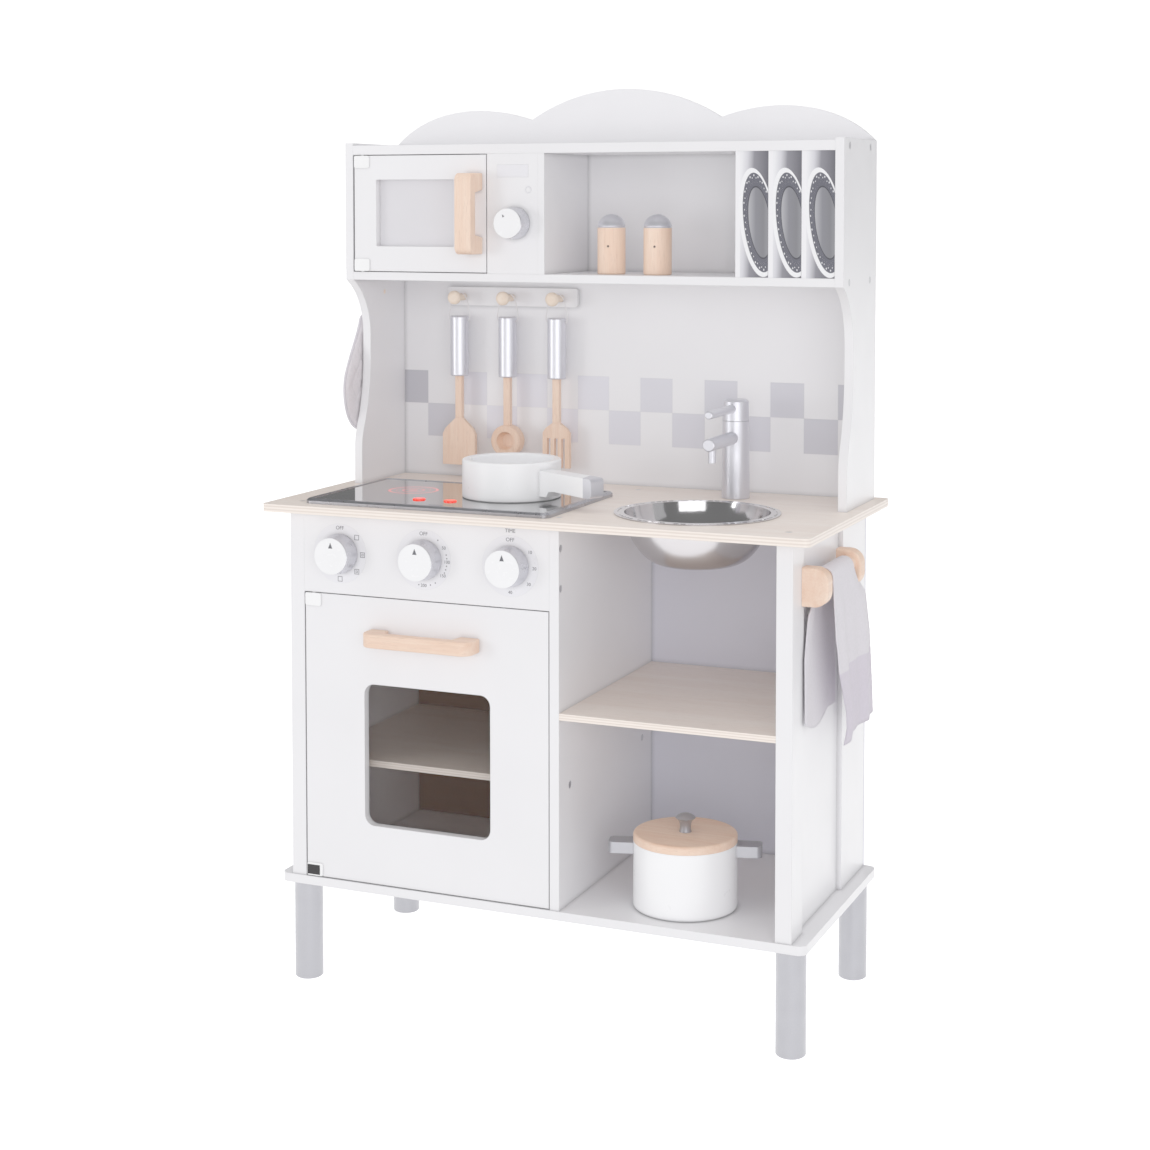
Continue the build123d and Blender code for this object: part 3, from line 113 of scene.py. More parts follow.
# ---------------------------------------------------------------- materials
class Finish:
    """One material: a Principled shader and short calls for the nodes that feed it."""

    def __init__(self, name, **sockets):
        self.material = bpy.data.materials.new(name)
        self.material.use_nodes = True
        self.tree = self.material.node_tree
        self.tree.nodes.clear()
        output = self.node("ShaderNodeOutputMaterial")
        self.shader = self.node("ShaderNodeBsdfPrincipled")
        self.tree.links.new(self.shader.outputs[0], output.inputs[0])
        coordinates = self.node("ShaderNodeTexCoord")
        self.place = coordinates.outputs["Object"]
        self.facing = coordinates.outputs["Normal"]
        self.uv = coordinates.outputs["UV"]
        for socket, value in sockets.items():
            self.give(self.shader.inputs[socket.replace("_", " ")], value)

    def node(self, kind, **settings):
        made = self.tree.nodes.new(kind)
        for key, value in settings.items():
            setattr(made, key, value)
        return made

    def give(self, socket, value):
        if isinstance(value, bpy.types.NodeSocket):
            self.tree.links.new(value, socket)
            return
        if hasattr(value, "__len__") and len(value) == 3 and len(socket.default_value) == 4:
            value = (*value, 1.0)
        socket.default_value = value

    def set(self, socket, value):
        self.give(self.shader.inputs[socket], value)

    def maths(self, operation, first, second=0.0, third=0.0):
        made = self.node("ShaderNodeMath", operation=operation)
        for index, value in enumerate((first, second, third)):
            self.give(made.inputs[index], value)
        return made.outputs[0]

    def stretched(self, scale):
        made = self.node("ShaderNodeMapping")
        self.give(made.inputs["Vector"], self.place)
        made.inputs["Scale"].default_value = scale
        return made.outputs[0]

    def noise(self, scale, detail=2.0, roughness=0.5, vector=None, distortion=0.0):
        made = self.node("ShaderNodeTexNoise")
        self.give(made.inputs["Vector"], vector or self.place)
        values = {"Scale": scale, "Detail": detail, "Roughness": roughness, "Distortion": distortion}
        for socket, value in values.items():
            made.inputs[socket].default_value = value
        return made.outputs[0]

    def ramp(self, factor, stops):
        made = self.node("ShaderNodeValToRGB")
        self.give(made.inputs[0], factor)
        elements = made.color_ramp.elements
        while len(elements) < len(stops):
            elements.new(0.5)
        for element, (position, value) in zip(elements, stops):
            element.position = position
            element.color = (*value, 1.0) if hasattr(value, "__len__") else (value, value, value, 1.0)
        return made.outputs[0]

    def range(self, value, low, high, to_low, to_high):
        made = self.node("ShaderNodeMapRange")
        for index, number in enumerate((value, low, high, to_low, to_high)):
            self.give(made.inputs[index], number)
        return made.outputs[0]

    def uneven(self, noise, low, high):
        """That noise as a value which wanders between low and high."""
        return self.range(noise, 0.3, 0.7, low, high)

    def flakes(self, tint, paler):
        """Metal flakes in a tint, from a little darker to that much paler."""
        return self.mix(self.noise(2600.0, 1.0), times(tint, 0.9), times(tint, paler))

    def mix(self, factor, first, second):
        made = self.node("ShaderNodeMix", data_type="RGBA")
        self.give(made.inputs[0], factor)
        self.give(made.inputs[6], first)
        self.give(made.inputs[7], second)
        return made.outputs[2]

    def split(self, vector=None):
        made = self.node("ShaderNodeSeparateXYZ")
        self.give(made.inputs[0], vector or self.place)
        return made.outputs

    def rise(self, height, strength, distance, soft_edge=0.0):
        """Bump of that height over a normal that rounds sharp edges by soft_edge."""
        bump = self.node("ShaderNodeBump")
        bump.inputs["Strength"].default_value = strength
        bump.inputs["Distance"].default_value = distance
        self.give(bump.inputs["Height"], height)
        if soft_edge:
            edge = self.node("ShaderNodeBevel", samples=4)
            edge.inputs["Radius"].default_value = soft_edge
            self.tree.links.new(edge.outputs[0], bump.inputs["Normal"])
        self.tree.links.new(bump.outputs[0], self.shader.inputs["Normal"])

    def painted_corner_shade(self, reach):
        """Painted shade: 1 on open surfaces, lower within reach of an inner corner or a seam."""
        made = self.node("ShaderNodeAmbientOcclusion", samples=6)
        made.inputs["Distance"].default_value = reach
        return made.outputs["AO"]

    def distance(self, centre, axes):
        """How far a point is from centre, measured along two axes only."""
        parts = self.split()
        squares = [
            self.maths("POWER", self.maths("SUBTRACT", parts[axis], centre[index]), 2.0)
            for index, axis in enumerate(axes)
        ]
        return self.maths("SQRT", self.maths("ADD", *squares))

    def ring(self, distance, radius, width, soft=0.4 * MM):
        """1 on a ring of that radius and width, falling to 0 over soft."""
        off = self.maths("ABSOLUTE", self.maths("SUBTRACT", distance, radius))
        return self.range(off, width / 2, width / 2 + soft, 1.0, 0.0)


def painted_board(name, tint, sheen=0.34, soft_edge=0.7 * MM):
    """Satin paint on fibreboard: faint roller texture, faint clouding, edges rounded by the paint, and
    painted shade darkening seams and inner corners.
    """
    paint = Finish(name, Coat_Weight=0.12, Coat_Roughness=0.25)
    tone = paint.mix(paint.uneven(paint.noise(9.0, 3.0), 0.0, 1.0), tint, times(tint, 0.965))
    # Painted shade: the colour darkens towards 45% of the tint within 5 mm of a seam or inner corner.
    paint.set("Base Color", paint.mix(paint.painted_corner_shade(5 * MM), times(tint, 0.45), tone))
    patches = paint.noise(40.0, 4.0, 0.6)
    paint.set("Roughness", paint.range(patches, 0.25, 0.75, sheen - 0.05, sheen + 0.08))
    paint.rise(paint.noise(900.0, 2.0), 0.18, 0.12 * MM, soft_edge)
    return paint.material


def grain(finish, light, dark, along, fineness=1.0):
    """(colour, height) of wood whose fibres run along one axis: broad figure, fine lines, pores."""
    scale = [fineness, fineness, fineness]
    scale[along] = 0.07 * fineness
    fibres = finish.stretched(scale)
    figure = finish.noise(55.0, 4.0, 0.55, fibres, 0.6)
    lines = finish.noise(420.0, 3.0, 0.6, fibres)
    pores = finish.ramp(finish.noise(1500.0, 1.0, 0.5, fibres), [(0.30, 1.0), (0.40, 0.0)])
    shade = finish.maths("MULTIPLY_ADD", figure, 0.65, finish.maths("MULTIPLY", lines, 0.35))
    middle_tone = [(a + b) / 2 for a, b in zip(light, dark)]
    base = finish.ramp(shade, [(0.36, dark), (0.50, middle_tone), (0.64, light)])
    tone = finish.mix(finish.maths("MULTIPLY", pores, 0.35), base, times(dark, 0.72))
    return tone, finish.maths("SUBTRACT", lines, finish.maths("MULTIPLY", pores, 0.6))


def bare_wood(name, light, dark, along):
    """Sanded and lightly waxed wood."""
    wood = Finish(name)
    tone, height = grain(wood, light, dark, along)
    wood.set("Base Color", tone)
    wood.set("Roughness", wood.range(height, 0.0, 1.0, 0.62, 0.42))
    wood.rise(height, 0.22, 0.15 * MM, 0.6 * MM)
    return wood.material


def plywood(name, light, dark, top, plies, thickness):
    """Birch plywood: grain on the faces, alternate plies on the sawn edges."""
    ply = Finish(name, Coat_Weight=0.15, Coat_Roughness=0.2)
    tone, height = grain(ply, light, dark, 0, 0.8)
    level = ply.maths("DIVIDE", ply.maths("SUBTRACT", top, ply.split()[2]), thickness / plies)
    wobble = ply.maths("MULTIPLY_ADD", ply.noise(60.0, 2.0), 0.25, level)
    stripe = ply.range(ply.maths("SINE", ply.maths("MULTIPLY", wobble, math.pi)), -1.0, 1.0, 0.0, 1.0)
    edge_tone = ply.ramp(stripe, [(0.3, times(dark, 0.88)), (0.6, light)])
    upward = ply.maths("ABSOLUTE", ply.split(ply.facing)[2])
    ply.set("Base Color", ply.mix(ply.range(upward, 0.4, 0.6, 1.0, 0.0), tone, edge_tone))
    ply.set("Roughness", ply.range(height, 0.0, 1.0, 0.55, 0.38))
    ply.rise(height, 0.16, 0.15 * MM, 0.5 * MM)
    return ply.material


def silver_paint(name, tint):
    """Metal-flake paint over turned wood."""
    paint = Finish(name, Metallic=0.62, Coat_Weight=0.2, Coat_Roughness=0.15)
    paint.set("Base Color", paint.flakes(tint, 1.12))
    paint.set("Roughness", paint.uneven(paint.noise(70.0, 3.0), 0.30, 0.42))
    paint.rise(paint.noise(1200.0, 2.0), 0.12, 0.08 * MM, 0.5 * MM)
    return paint.material


def capped_wood(name, tints, split_z):
    """Turned wood below split_z and silver paint above it, on one piece."""
    both = Finish(name)
    tone, height = grain(both, tints.wood_light, tints.wood_dark, 2)
    capped = both.range(both.split()[2], split_z - 0.05 * MM, split_z + 0.05 * MM, 0.0, 1.0)
    both.set("Base Color", both.mix(capped, tone, both.flakes(tints.silver, 1.1)))
    both.set("Metallic", both.maths("MULTIPLY", capped, 0.62))
    both.set("Roughness", both.range(capped, 0.0, 1.0, 0.5, 0.33))
    both.rise(both.maths("MULTIPLY", height, both.maths("SUBTRACT", 1.0, capped)), 0.22, 0.15 * MM, 0.6 * MM)
    return both.material


def plastic(name, tint, roughness, **more):
    """Moulded plastic with the faint texture of its mould."""
    moulded = Finish(name, **more)
    moulded.set("Base Color", moulded.mix(moulded.noise(30.0, 2.0), tint, times(tint, 0.93)))
    worn = moulded.uneven(moulded.noise(200.0, 3.0), roughness * 0.85, roughness * 1.15)
    moulded.set("Roughness", worn)
    moulded.rise(moulded.noise(1500.0, 1.0), 0.08, 0.06 * MM, 0.3 * MM)
    return moulded.material


def woven(name, light, dark, pitch, split=None):
    """Plain-weave cotton, its threads along the piece's own UV map in metres, dark past v = split."""
    cloth = Finish(name, Roughness=0.92, Sheen_Weight=0.25, Sheen_Roughness=0.5)
    u, v = cloth.split(cloth.uv)[:2]
    waves = [cloth.maths("SINE", cloth.maths("MULTIPLY", run, 2 * math.pi / pitch)) for run in (u, v)]
    threads = cloth.maths("MULTIPLY", *waves)
    slub = cloth.noise(350.0, 3.0, 0.6)
    mottle = cloth.uneven(slub, 0.0, 1.0)
    tone = cloth.mix(mottle, times(light, 0.93), light)
    if split is not None:
        lower = cloth.mix(mottle, times(dark, 0.93), dark)
        tone = cloth.mix(cloth.range(v, split, split + 1.5 * MM, 0.0, 1.0), tone, lower)
    # Painted shade: the gaps between threads are darkened towards 55% of the dark tone.
    gap_shade = cloth.range(threads, -1.0, 1.0, 0.16, 0.0)
    cloth.set("Base Color", cloth.mix(gap_shade, tone, times(dark, 0.55)))
    cloth.rise(cloth.maths("ADD", threads, slub), 0.45, 0.3 * MM)
    return cloth.material


# ---------------------------------------------------------------- building
def link(name, mesh, body, *materials):
    """A mesh as a piece that rides on a body."""
    piece = bpy.data.objects.new(name, mesh)
    bpy.context.scene.collection.objects.link(piece)
    for material in materials:
        mesh.materials.append(material)
    if body is None:
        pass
    else:
        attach(piece, body)
    return piece


def dress(material, *names):
    """The CAD nodes of these names take that material."""
    for name in names:
        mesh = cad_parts[name].data
        mesh.materials.clear()
        mesh.materials.append(material)


def mesh_from(bm, name, smooth=False):
    bmesh.ops.remove_doubles(bm, verts=bm.verts, dist=1e-6)
    bmesh.ops.recalc_face_normals(bm, faces=bm.faces)
    mesh = bpy.data.meshes.new(name)
    bm.to_mesh(mesh)
    bm.free()
    for polygon in mesh.polygons:
        polygon.use_smooth = smooth
    return mesh


def ellipse(x, z, across, up, lean=0.0, steps=72):
    """Points round an ellipse in the XZ plane; lean moves its top towards -X."""
    points = []
    for step in range(steps):
        angle = 2 * math.pi * step / steps
        rise = up * math.sin(angle)
        points.append((x + across * math.cos(angle) - lean * rise, z + rise))
    return points


def circle(x, z, radius):
    return ellipse(x, z, radius, radius)


def rectangle(left, low, right, high):
    return [(left, low), (right, low), (right, high), (left, high)]


def prism(bm, y, depth, outer, inner=None):
    """A thin closed prism on the plane y that stands depth towards -Y: filled, or a band."""
    rings = {}
    for key, outline in (("outer", outer), ("inner", inner)):
        for level, offset in (("back", 0.0), ("front", -depth)):
            if outline is not None:
                rings[key, level] = [bm.verts.new((x, y + offset, z)) for x, z in outline]
    count = len(outer)
    for step in range(count):
        after = (step + 1) % count
        for key in ("outer", "inner"):
            if (key, "back") in rings:
                back, front = rings[key, "back"], rings[key, "front"]
                bm.faces.new((back[step], back[after], front[after], front[step]))
        if inner is not None:
            for level in ("back", "front"):
                a, b = rings["outer", level], rings["inner", level]
                bm.faces.new((a[step], a[after], b[after], b[step]))
    if inner is None:
        bm.faces.new(rings["outer", "back"])
        bm.faces.new(rings["outer", "front"])


def cut(bm, x, z):
    """Cut what lies past x, and what lies under z, off a closed mesh and close it again."""
    for point, normal in (((x, 0, 0), (1, 0, 0)), ((0, 0, z), (0, 0, -1))):
        everything = bm.verts[:] + bm.edges[:] + bm.faces[:]
        bmesh.ops.bisect_plane(
            bm, geom=everything, plane_co=point, plane_no=normal, clear_outer=True, dist=1e-7
        )
        bmesh.ops.holes_fill(bm, edges=[edge for edge in bm.edges if edge.is_boundary])


def printed(name, body, material, y, depth, *shapes, corner=None):
    """Thin prints of (outer, inner) outlines on the plane y, as one piece, cut off past corner."""
    bm = bmesh.new()
    for outlines in shapes:
        prism(bm, y, depth, *outlines)
    if corner is not None:
        cut(bm, *corner)
    return link(name, mesh_from(bm, name), body, material)


def plain_mesh(curve):
    """The mesh that a curve or a text makes, without materials."""
    source = bpy.data.objects.new(curve.name + "_source", curve)
    bpy.context.scene.collection.objects.link(source)
    bpy.context.view_layer.update()
    mesh = bpy.data.meshes.new_from_object(source)
    bpy.data.objects.remove(source)
    mesh.materials.clear()
    return mesh


def path(name, kind, points, **more):
    """(curve, spline) through those points."""
    curve = bpy.data.curves.new(name, "CURVE")
    curve.dimensions = "3D"
    for key, value in more.items():
        setattr(curve, key, value)
    spline = curve.splines.new(kind)
    spline.points.add(len(points) - 1)
    for point, place in zip(spline.points, points):
        point.co = (*place, 1.0)
    return curve, spline


def lettering(name, words, x, z, y, height, depth, material, body):
    """One short printed word or figure, centred on (x, z), facing -Y."""
    curve = bpy.data.curves.new(name, "FONT")
    curve.body = words
    curve.size = height * 1.35
    curve.extrude = depth / 2
    curve.align_x = "CENTER"
    curve.align_y = "CENTER"
    mesh = plain_mesh(curve)
    mesh.transform(Matrix.Translation((x, y - depth / 2, z)) @ Matrix.Rotation(math.pi / 2, 4, "X"))
    return link(name, mesh, body, material)


def repeat_tree(name):
    """A node tree that sets one small block at every vertex, turned by its "turn", sized by its "size"."""
    tree = bpy.data.node_groups.new(name, "GeometryNodeTree")
    face = tree.interface
    face.new_socket("Geometry", in_out="INPUT", socket_type="NodeSocketGeometry")
    for label in ("Width", "Depth", "Height", "Roundness"):
        face.new_socket(label, in_out="INPUT", socket_type="NodeSocketFloat")
    face.new_socket("Material", in_out="INPUT", socket_type="NodeSocketMaterial")
    face.new_socket("Geometry", in_out="OUTPUT", socket_type="NodeSocketGeometry")
    kinds = {
        "source": "NodeGroupInput",
        "size": "ShaderNodeCombineXYZ",
        "block": "GeometryNodeMeshCube",
        "half": "ShaderNodeMath",
        "drum": "GeometryNodeMeshCylinder",
        "upright": "GeometryNodeTransform",
        "rounded": "FunctionNodeCompare",
        "shape": "GeometryNodeSwitch",
        "turn": "GeometryNodeInputNamedAttribute",
        "scale": "GeometryNodeInputNamedAttribute",
        "euler": "FunctionNodeEulerToRotation",
        "spread": "GeometryNodeInstanceOnPoints",
        "real": "GeometryNodeRealizeInstances",
        "paint": "GeometryNodeSetMaterial",
        "result": "NodeGroupOutput",
    }
    made = {key: tree.nodes.new(kind) for key, kind in kinds.items()}
    made["drum"].inputs["Vertices"].default_value = 20
    made["half"].operation = "MULTIPLY"
    made["half"].inputs[1].default_value = 0.5
    made["upright"].inputs["Rotation"].default_value = (math.pi / 2, 0, 0)
    made["rounded"].data_type = "FLOAT"
    made["rounded"].inputs[1].default_value = 0.5
    made["shape"].input_type = "GEOMETRY"
    for key, label in (("turn", "turn"), ("scale", "size")):
        made[key].data_type = "FLOAT_VECTOR"
        made[key].inputs["Name"].default_value = label
    for start, output, end, socket in (
        ("source", "Width", "size", 0),
        ("source", "Depth", "size", 1),
        ("source", "Height", "size", 2),
        ("size", 0, "block", "Size"),
        ("source", "Width", "half", 0),
        ("half", 0, "drum", "Radius"),
        ("source", "Depth", "drum", "Depth"),
        ("drum", "Mesh", "upright", "Geometry"),
        ("source", "Roundness", "rounded", 0),
        ("rounded", 0, "shape", "Switch"),
        ("block", "Mesh", "shape", "False"),
        ("upright", "Geometry", "shape", "True"),
        ("source", "Geometry", "spread", "Points"),
        ("shape", 0, "spread", "Instance"),
        ("turn", "Attribute", "euler", 0),
        ("euler", 0, "spread", "Rotation"),
        ("scale", "Attribute", "spread", "Scale"),
        ("spread", 0, "real", 0),
        ("real", 0, "paint", "Geometry"),
        ("source", "Material", "paint", "Material"),
        ("paint", 0, "result", 0),
    ):
        tree.links.new(made[start].outputs[output], made[end].inputs[socket])
    return tree


def repeat(name, places, width, depth, height, material, body, rounded=False):
    """Small blocks or discs, one at each (point, turn, size) of places, as one plain mesh."""
    tree = bpy.data.node_groups.get("small_repeats") or repeat_tree("small_repeats")
    guide = bpy.data.meshes.new(name + "_guide")
    guide.from_pydata([point for point, turn, size in places], [], [])
    for label, index in (("turn", 1), ("size", 2)):
        layer = guide.attributes.new(label, "FLOAT_VECTOR", "POINT")
        layer.data.foreach_set("vector", [value for place in places for value in place[index]])
    holder = bpy.data.objects.new(name + "_holder", guide)
    bpy.context.scene.collection.objects.link(holder)
    modifier = holder.modifiers.new("repeat", "NODES")
    modifier.node_group = tree
    values = {"Width": width, "Depth": depth, "Height": height, "Material": material}
    values["Roundness"] = float(rounded)
    for item in tree.interface.items_tree:
        if item.in_out == "INPUT" and item.name in values:
            modifier[item.identifier] = values[item.name]
    bpy.context.view_layer.update()
    evaluated = holder.evaluated_get(bpy.context.evaluated_depsgraph_get())
    mesh = bpy.data.meshes.new_from_object(evaluated)
    bpy.data.objects.remove(holder)
    return link(name, mesh, body)


STILL = (0.0, 0.0, 0.0)
WHOLE = (1.0, 1.0, 1.0)


def middle(node):
    low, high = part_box(node)
    return [(a + b) / 2 for a, b in zip(low, high)]


def between(points, at):
    """The second value of a list of pairs, in line between them, at that first value."""
    if at <= points[0][0]:
        return points[0][1]
    for (a, b), (c, d) in zip(points, points[1:]):
        if at <= c:
            return b + (d - b) * (at - a) / (c - a)
    return points[-1][1]


def settings():
    return bpy.context.scene.kitchen_finishes, bpy.context.scene.kitchen_sizes


class Piece(bpy.types.Operator):
    """Builds one group of the kitchen's pieces"""

    bl_options = {"REGISTER", "UNDO"}
    bl_idname = "kitchen.piece"
    bl_label = "Piece"

    def execute(self, context):
        self.build(*settings())
        return {"FINISHED"}


# ---------------------------------------------------------------- boards and hardware
class KITCHEN_OT_boards(Piece):
    """Paints the boards of the lower and upper cabinet and finishes the plywood"""

    bl_idname = "kitchen.boards"
    bl_label = "Boards"

    def build(self, tints, sizes):
        white = painted_board("board_white", tints.board)
        dress(white, "base_board", "centre_divider", "control_panel", "lower_side_left", "lower_side_right")
        dress(white, "microwave_panel", "peg_rail", "top_board", "upper_back", "upper_divider", "upper_shelf")
        dress(white, "upper_side_left", "upper_side_right", "oven_door", "microwave_door")
        dress(painted_board("board_grey", tints.back, 0.6), "compartment_back")
        dress(painted_board("board_brown", tints.oven_lining, 0.6), "oven_back")
        plies = 5
        for name in ("worktop", "compartment_shelf", "oven_shelf"):
            low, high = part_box(name)
            top, thickness = high[2], high[2] - low[2]
            dress(plywood("plywood_" + name, tints.ply_light, tints.ply_dark, top, plies, thickness), name)


class KITCHEN_OT_hardware(Piece):
    """Finishes the legs, fittings, clips, handles, pegs and rail"""

    bl_idname = "kitchen.hardware"
    bl_label = "Hardware"

    def build(self, tints, sizes):
        dress(silver_paint("silver_paint", tints.silver), "tap", "tap_lever")
        # Silver paint at half brightness for the legs, pot handles and lid knob: painted shade on the pot
        # handles, which sit in shade, and a duller silver on the legs.
        dress(silver_paint("silver_dull_and_shaded", times(tints.silver, 0.50)), "legs", "pot_handles", "lid_knob")
        for name, along, nodes in (
            ("wood_upright", 2, ["microwave_handle"]),
            ("wood_level", 0, ["oven_handle", "lid"]),
            ("wood_deep", 1, ["towel_rail"]),
        ):
            dress(bare_wood(name, tints.wood_light, tints.wood_dark, along), *nodes)
        dress(bare_wood("wood_peg", linear(249, 231, 211), linear(242, 217, 192), 1), "pegs")
        screw = Finish("zinc_screw", Metallic=1.0)
        screw.set("Base Color", screw.mix(screw.noise(300.0), (0.55, 0.55, 0.57), (0.72, 0.72, 0.74)))
        screw.set("Roughness", screw.uneven(screw.noise(900.0), 0.3, 0.5))
        screw.rise(screw.noise(1400.0), 0.1, 0.1 * MM)
        dress(screw.material, "fittings")
        dress(plastic("clip_white", linear(254, 254, 255), 0.2), "oven_hinges", "microwave_hinges")
        dress(plastic("housing_grey", linear(95, 95, 100), 0.5), "hob_housing", "battery_cover")
        enamel = linear(250, 250, 252)
        dress(painted_board("pan_white", times(enamel, 1.02), 0.3, 0.9 * MM), "pan", "pot")
        cap_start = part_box("pan_handle")[1][0] - 17 * MM
        handle = Finish("pan_handle_paint", Coat_Weight=0.2)
        capped = handle.range(handle.split()[0], cap_start, cap_start + 0.2 * MM, 0.0, 1.0)
        handle.set("Base Color", handle.mix(capped, enamel, handle.flakes(tints.silver, 1.0)))
        handle.set("Metallic", handle.maths("MULTIPLY", capped, 0.62))
        handle.set("Roughness", handle.uneven(handle.noise(70.0, 3.0), 0.28, 0.4))
        handle.rise(handle.noise(900.0, 2.0), 0.15, 0.1 * MM, 0.6 * MM)
        dress(handle.material, "pan_handle")


class KITCHEN_OT_windows(Piece):
    """Glazes the two doors"""

    bl_idname = "kitchen.windows"
    bl_label = "Door windows"

    def build(self, tints, sizes):
        for node, tint, alpha in (
            ("oven_window", linear(62, 42, 32), 0.15),
            ("microwave_window", linear(250, 248, 253), 0.74),
        ):
            pane = Finish(node + "_sheet", Alpha=alpha, Roughness=0.06, IOR=1.49, Specular_IOR_Level=0.2)
            smear = pane.noise(14.0, 4.0)
            pane.set("Base Color", pane.mix(smear, tint, times(tint, 0.9)))
            pane.rise(pane.noise(25.0), 0.02, 0.2 * MM)
            dress(pane.material, node)


class KITCHEN_OT_utensils(Piece):
    """Finishes the utensils and shakers, wood below and silver paint above"""

    bl_idname = "kitchen.utensils"
    bl_label = "Utensils and shakers"

    def build(self, tints, sizes):
        handle_length = 66 * MM
        cap_height = 14 * MM
        shakers = ("salt_shaker", "pepper_shaker")
        for names, silver in ((("spatula", "ladle", "turner"), handle_length), (shakers, cap_height)):
            for name in names:
                dress(capped_wood("finish_" + name, tints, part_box(name)[1][2] - silver), name)
        # Painted shade: a dark brown disc on each shaker's front stands for the shade inside its hole.
        hole = plastic("shaker_hole_shade", linear(90, 70, 60), 0.6)
        for name in shakers:
            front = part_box(name)[0][1]
            x, _, z = middle(name)
            places = [((x + 2 * MM, front + 0.1 * MM, z - 2 * MM), STILL, WHOLE)]
            repeat(name + "_hole", places, 2.4 * MM, 0.5 * MM, 0, hole, name, rounded=True)


# ---------------------------------------------------------------- prints
# How deep a tile's grey is, by column from the left: painted light, paler in the middle columns where light
# washes the wall out.
TILE_LIGHT_FADE = ((0, 1.0), (1, 0.6), (2.2, 0.1), (5, 0.0), (7, 0.25), (14, 0.7))


class KITCHEN_OT_tiles(Piece):
    """Prints the two rows of grey tiles on the wall behind the worktop"""

    bl_idname = "kitchen.tiles"
    bl_label = "Tiles"

    def build(self, tints, sizes):
        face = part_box("upper_back")[0][1]
        inner_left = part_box("upper_side_left")[1][0]
        inner_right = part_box("upper_side_right")[0][0]
        count = 15
        start = -count * sizes.tile / 2
        for row in (0, 1):
            for column in range(count):
                if (row + column) % 2 == 0:
                    continue
                left = max(start + column * sizes.tile, inner_left)
                right = min(start + (column + 1) * sizes.tile, inner_right)
                bottom = sizes.tile_low + row * sizes.tile
                # Painted light: the tiles in the middle columns are printed paler, as if washed out by light.
                light_fade = between(TILE_LIGHT_FADE, column)
                tint = [a + (b - a) * light_fade for a, b in zip(tints.tile_pale, tints.tile_deep)]
                name = f"tile_{row}_{column}"
                outline = rectangle(left, bottom, right, bottom + sizes.tile)
                paint = painted_board(name + "_print", tint, 0.4, 0.0)
                printed(name, "cabinet", paint, face, sizes.ink, [outline])


def on_dial(x, z, radius, degrees):
    """The point of a dial at that many degrees clockwise from its top."""
    angle = math.radians(degrees)
    return x + radius * math.sin(angle), z + radius * math.cos(angle)


# The words of each dial by degrees, the temperature dial's dots and the mode dial's squares.
DIAL_WORDS = {
    "mode": {0: "OFF"},
    "temperature": {0: "OFF", 60: "50", 92: "100", 125: "150", 180: "200"},
    "timer": {0: "OFF", 55: "10", 92: "20", 130: "30", 180: "40"},
}
DIAL_DOTS = (38, 76, 84, 101, 109, 117, 150, 163, 192)
DIAL_SQUARES = {48: False, 90: True, 132: True, 180: False}
# Half the side and the wall of a square, and of the one inside it.
SQUARE, SQUARE_WALL = 2.6 * MM, 0.5 * MM
INNER_SQUARE, INNER_WALL = 1.1 * MM, 0.4 * MM


class KITCHEN_OT_dials(Piece):
    """Prints the dials round the oven's knobs and the marks on the microwave's panel"""

    bl_idname = "kitchen.dials"
    bl_label = "Dials"

    def build(self, tints, sizes):
        ink = plastic("print_ink", tints.print_ink, 0.5)
        pale = painted_board("print_ring", linear(236, 235, 240), 0.3, 0.0)
        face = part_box("control_panel")[0][1]
        over = face - sizes.ink
        radius = sizes.dial * 0.86
        for knob, words in DIAL_WORDS.items():
            x, _, z = middle("knob_" + knob)
            band = circle(x, z, sizes.dial), circle(x, z, sizes.dial * 0.55)
            printed(f"dial_ring_{knob}", "cabinet", pale, face, sizes.ink, band)
            for degrees, word in words.items():
                height = sizes.lettering * (1.0 if word == "OFF" else 0.85)
                place = on_dial(x, z, radius, degrees)
                lettering(f"dial_{knob}_{word}", word, *place, over, height, sizes.ink, ink, "cabinet")
        x, _, z = middle("knob_timer")
        above = z + sizes.dial + 4.5 * MM
        lettering("dial_time", "TIME", x, above, face, sizes.lettering, sizes.ink, ink, "cabinet")
        x, _, z = middle("knob_temperature")
        dots = []
        for degrees in DIAL_DOTS:
            across, up = on_dial(x, z, radius, degrees)
            dots.append(((across, face - 1.5 * sizes.ink, up), STILL, WHOLE))
        repeat("dial_dots", dots, 1.3 * MM, sizes.ink, 0, ink, "cabinet", rounded=True)
        x, _, z = middle("knob_mode")
        shapes = []
        for degrees, double in DIAL_SQUARES.items():
            cx, cz = on_dial(x, z, radius, degrees)
            for half, wall in ((SQUARE, SQUARE_WALL), (INNER_SQUARE, INNER_WALL))[: 1 + double]:
                shapes.append([rectangle(cx - h, cz - h, cx + h, cz + h) for h in (half, half - wall)])
        printed("dial_modes", "cabinet", ink, over, sizes.ink, *shapes)
        display = painted_board("display", linear(235, 234, 240))
        ring = [circle(-0.0605, 0.812, radius) for radius in (3.6 * MM, 2.6 * MM)]
        window = [rectangle(-0.0960, 0.825, -0.0605, 0.838)]
        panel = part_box("microwave_panel")[0][1]
        printed("microwave_display", "cabinet", display, panel, sizes.ink, window, ring)


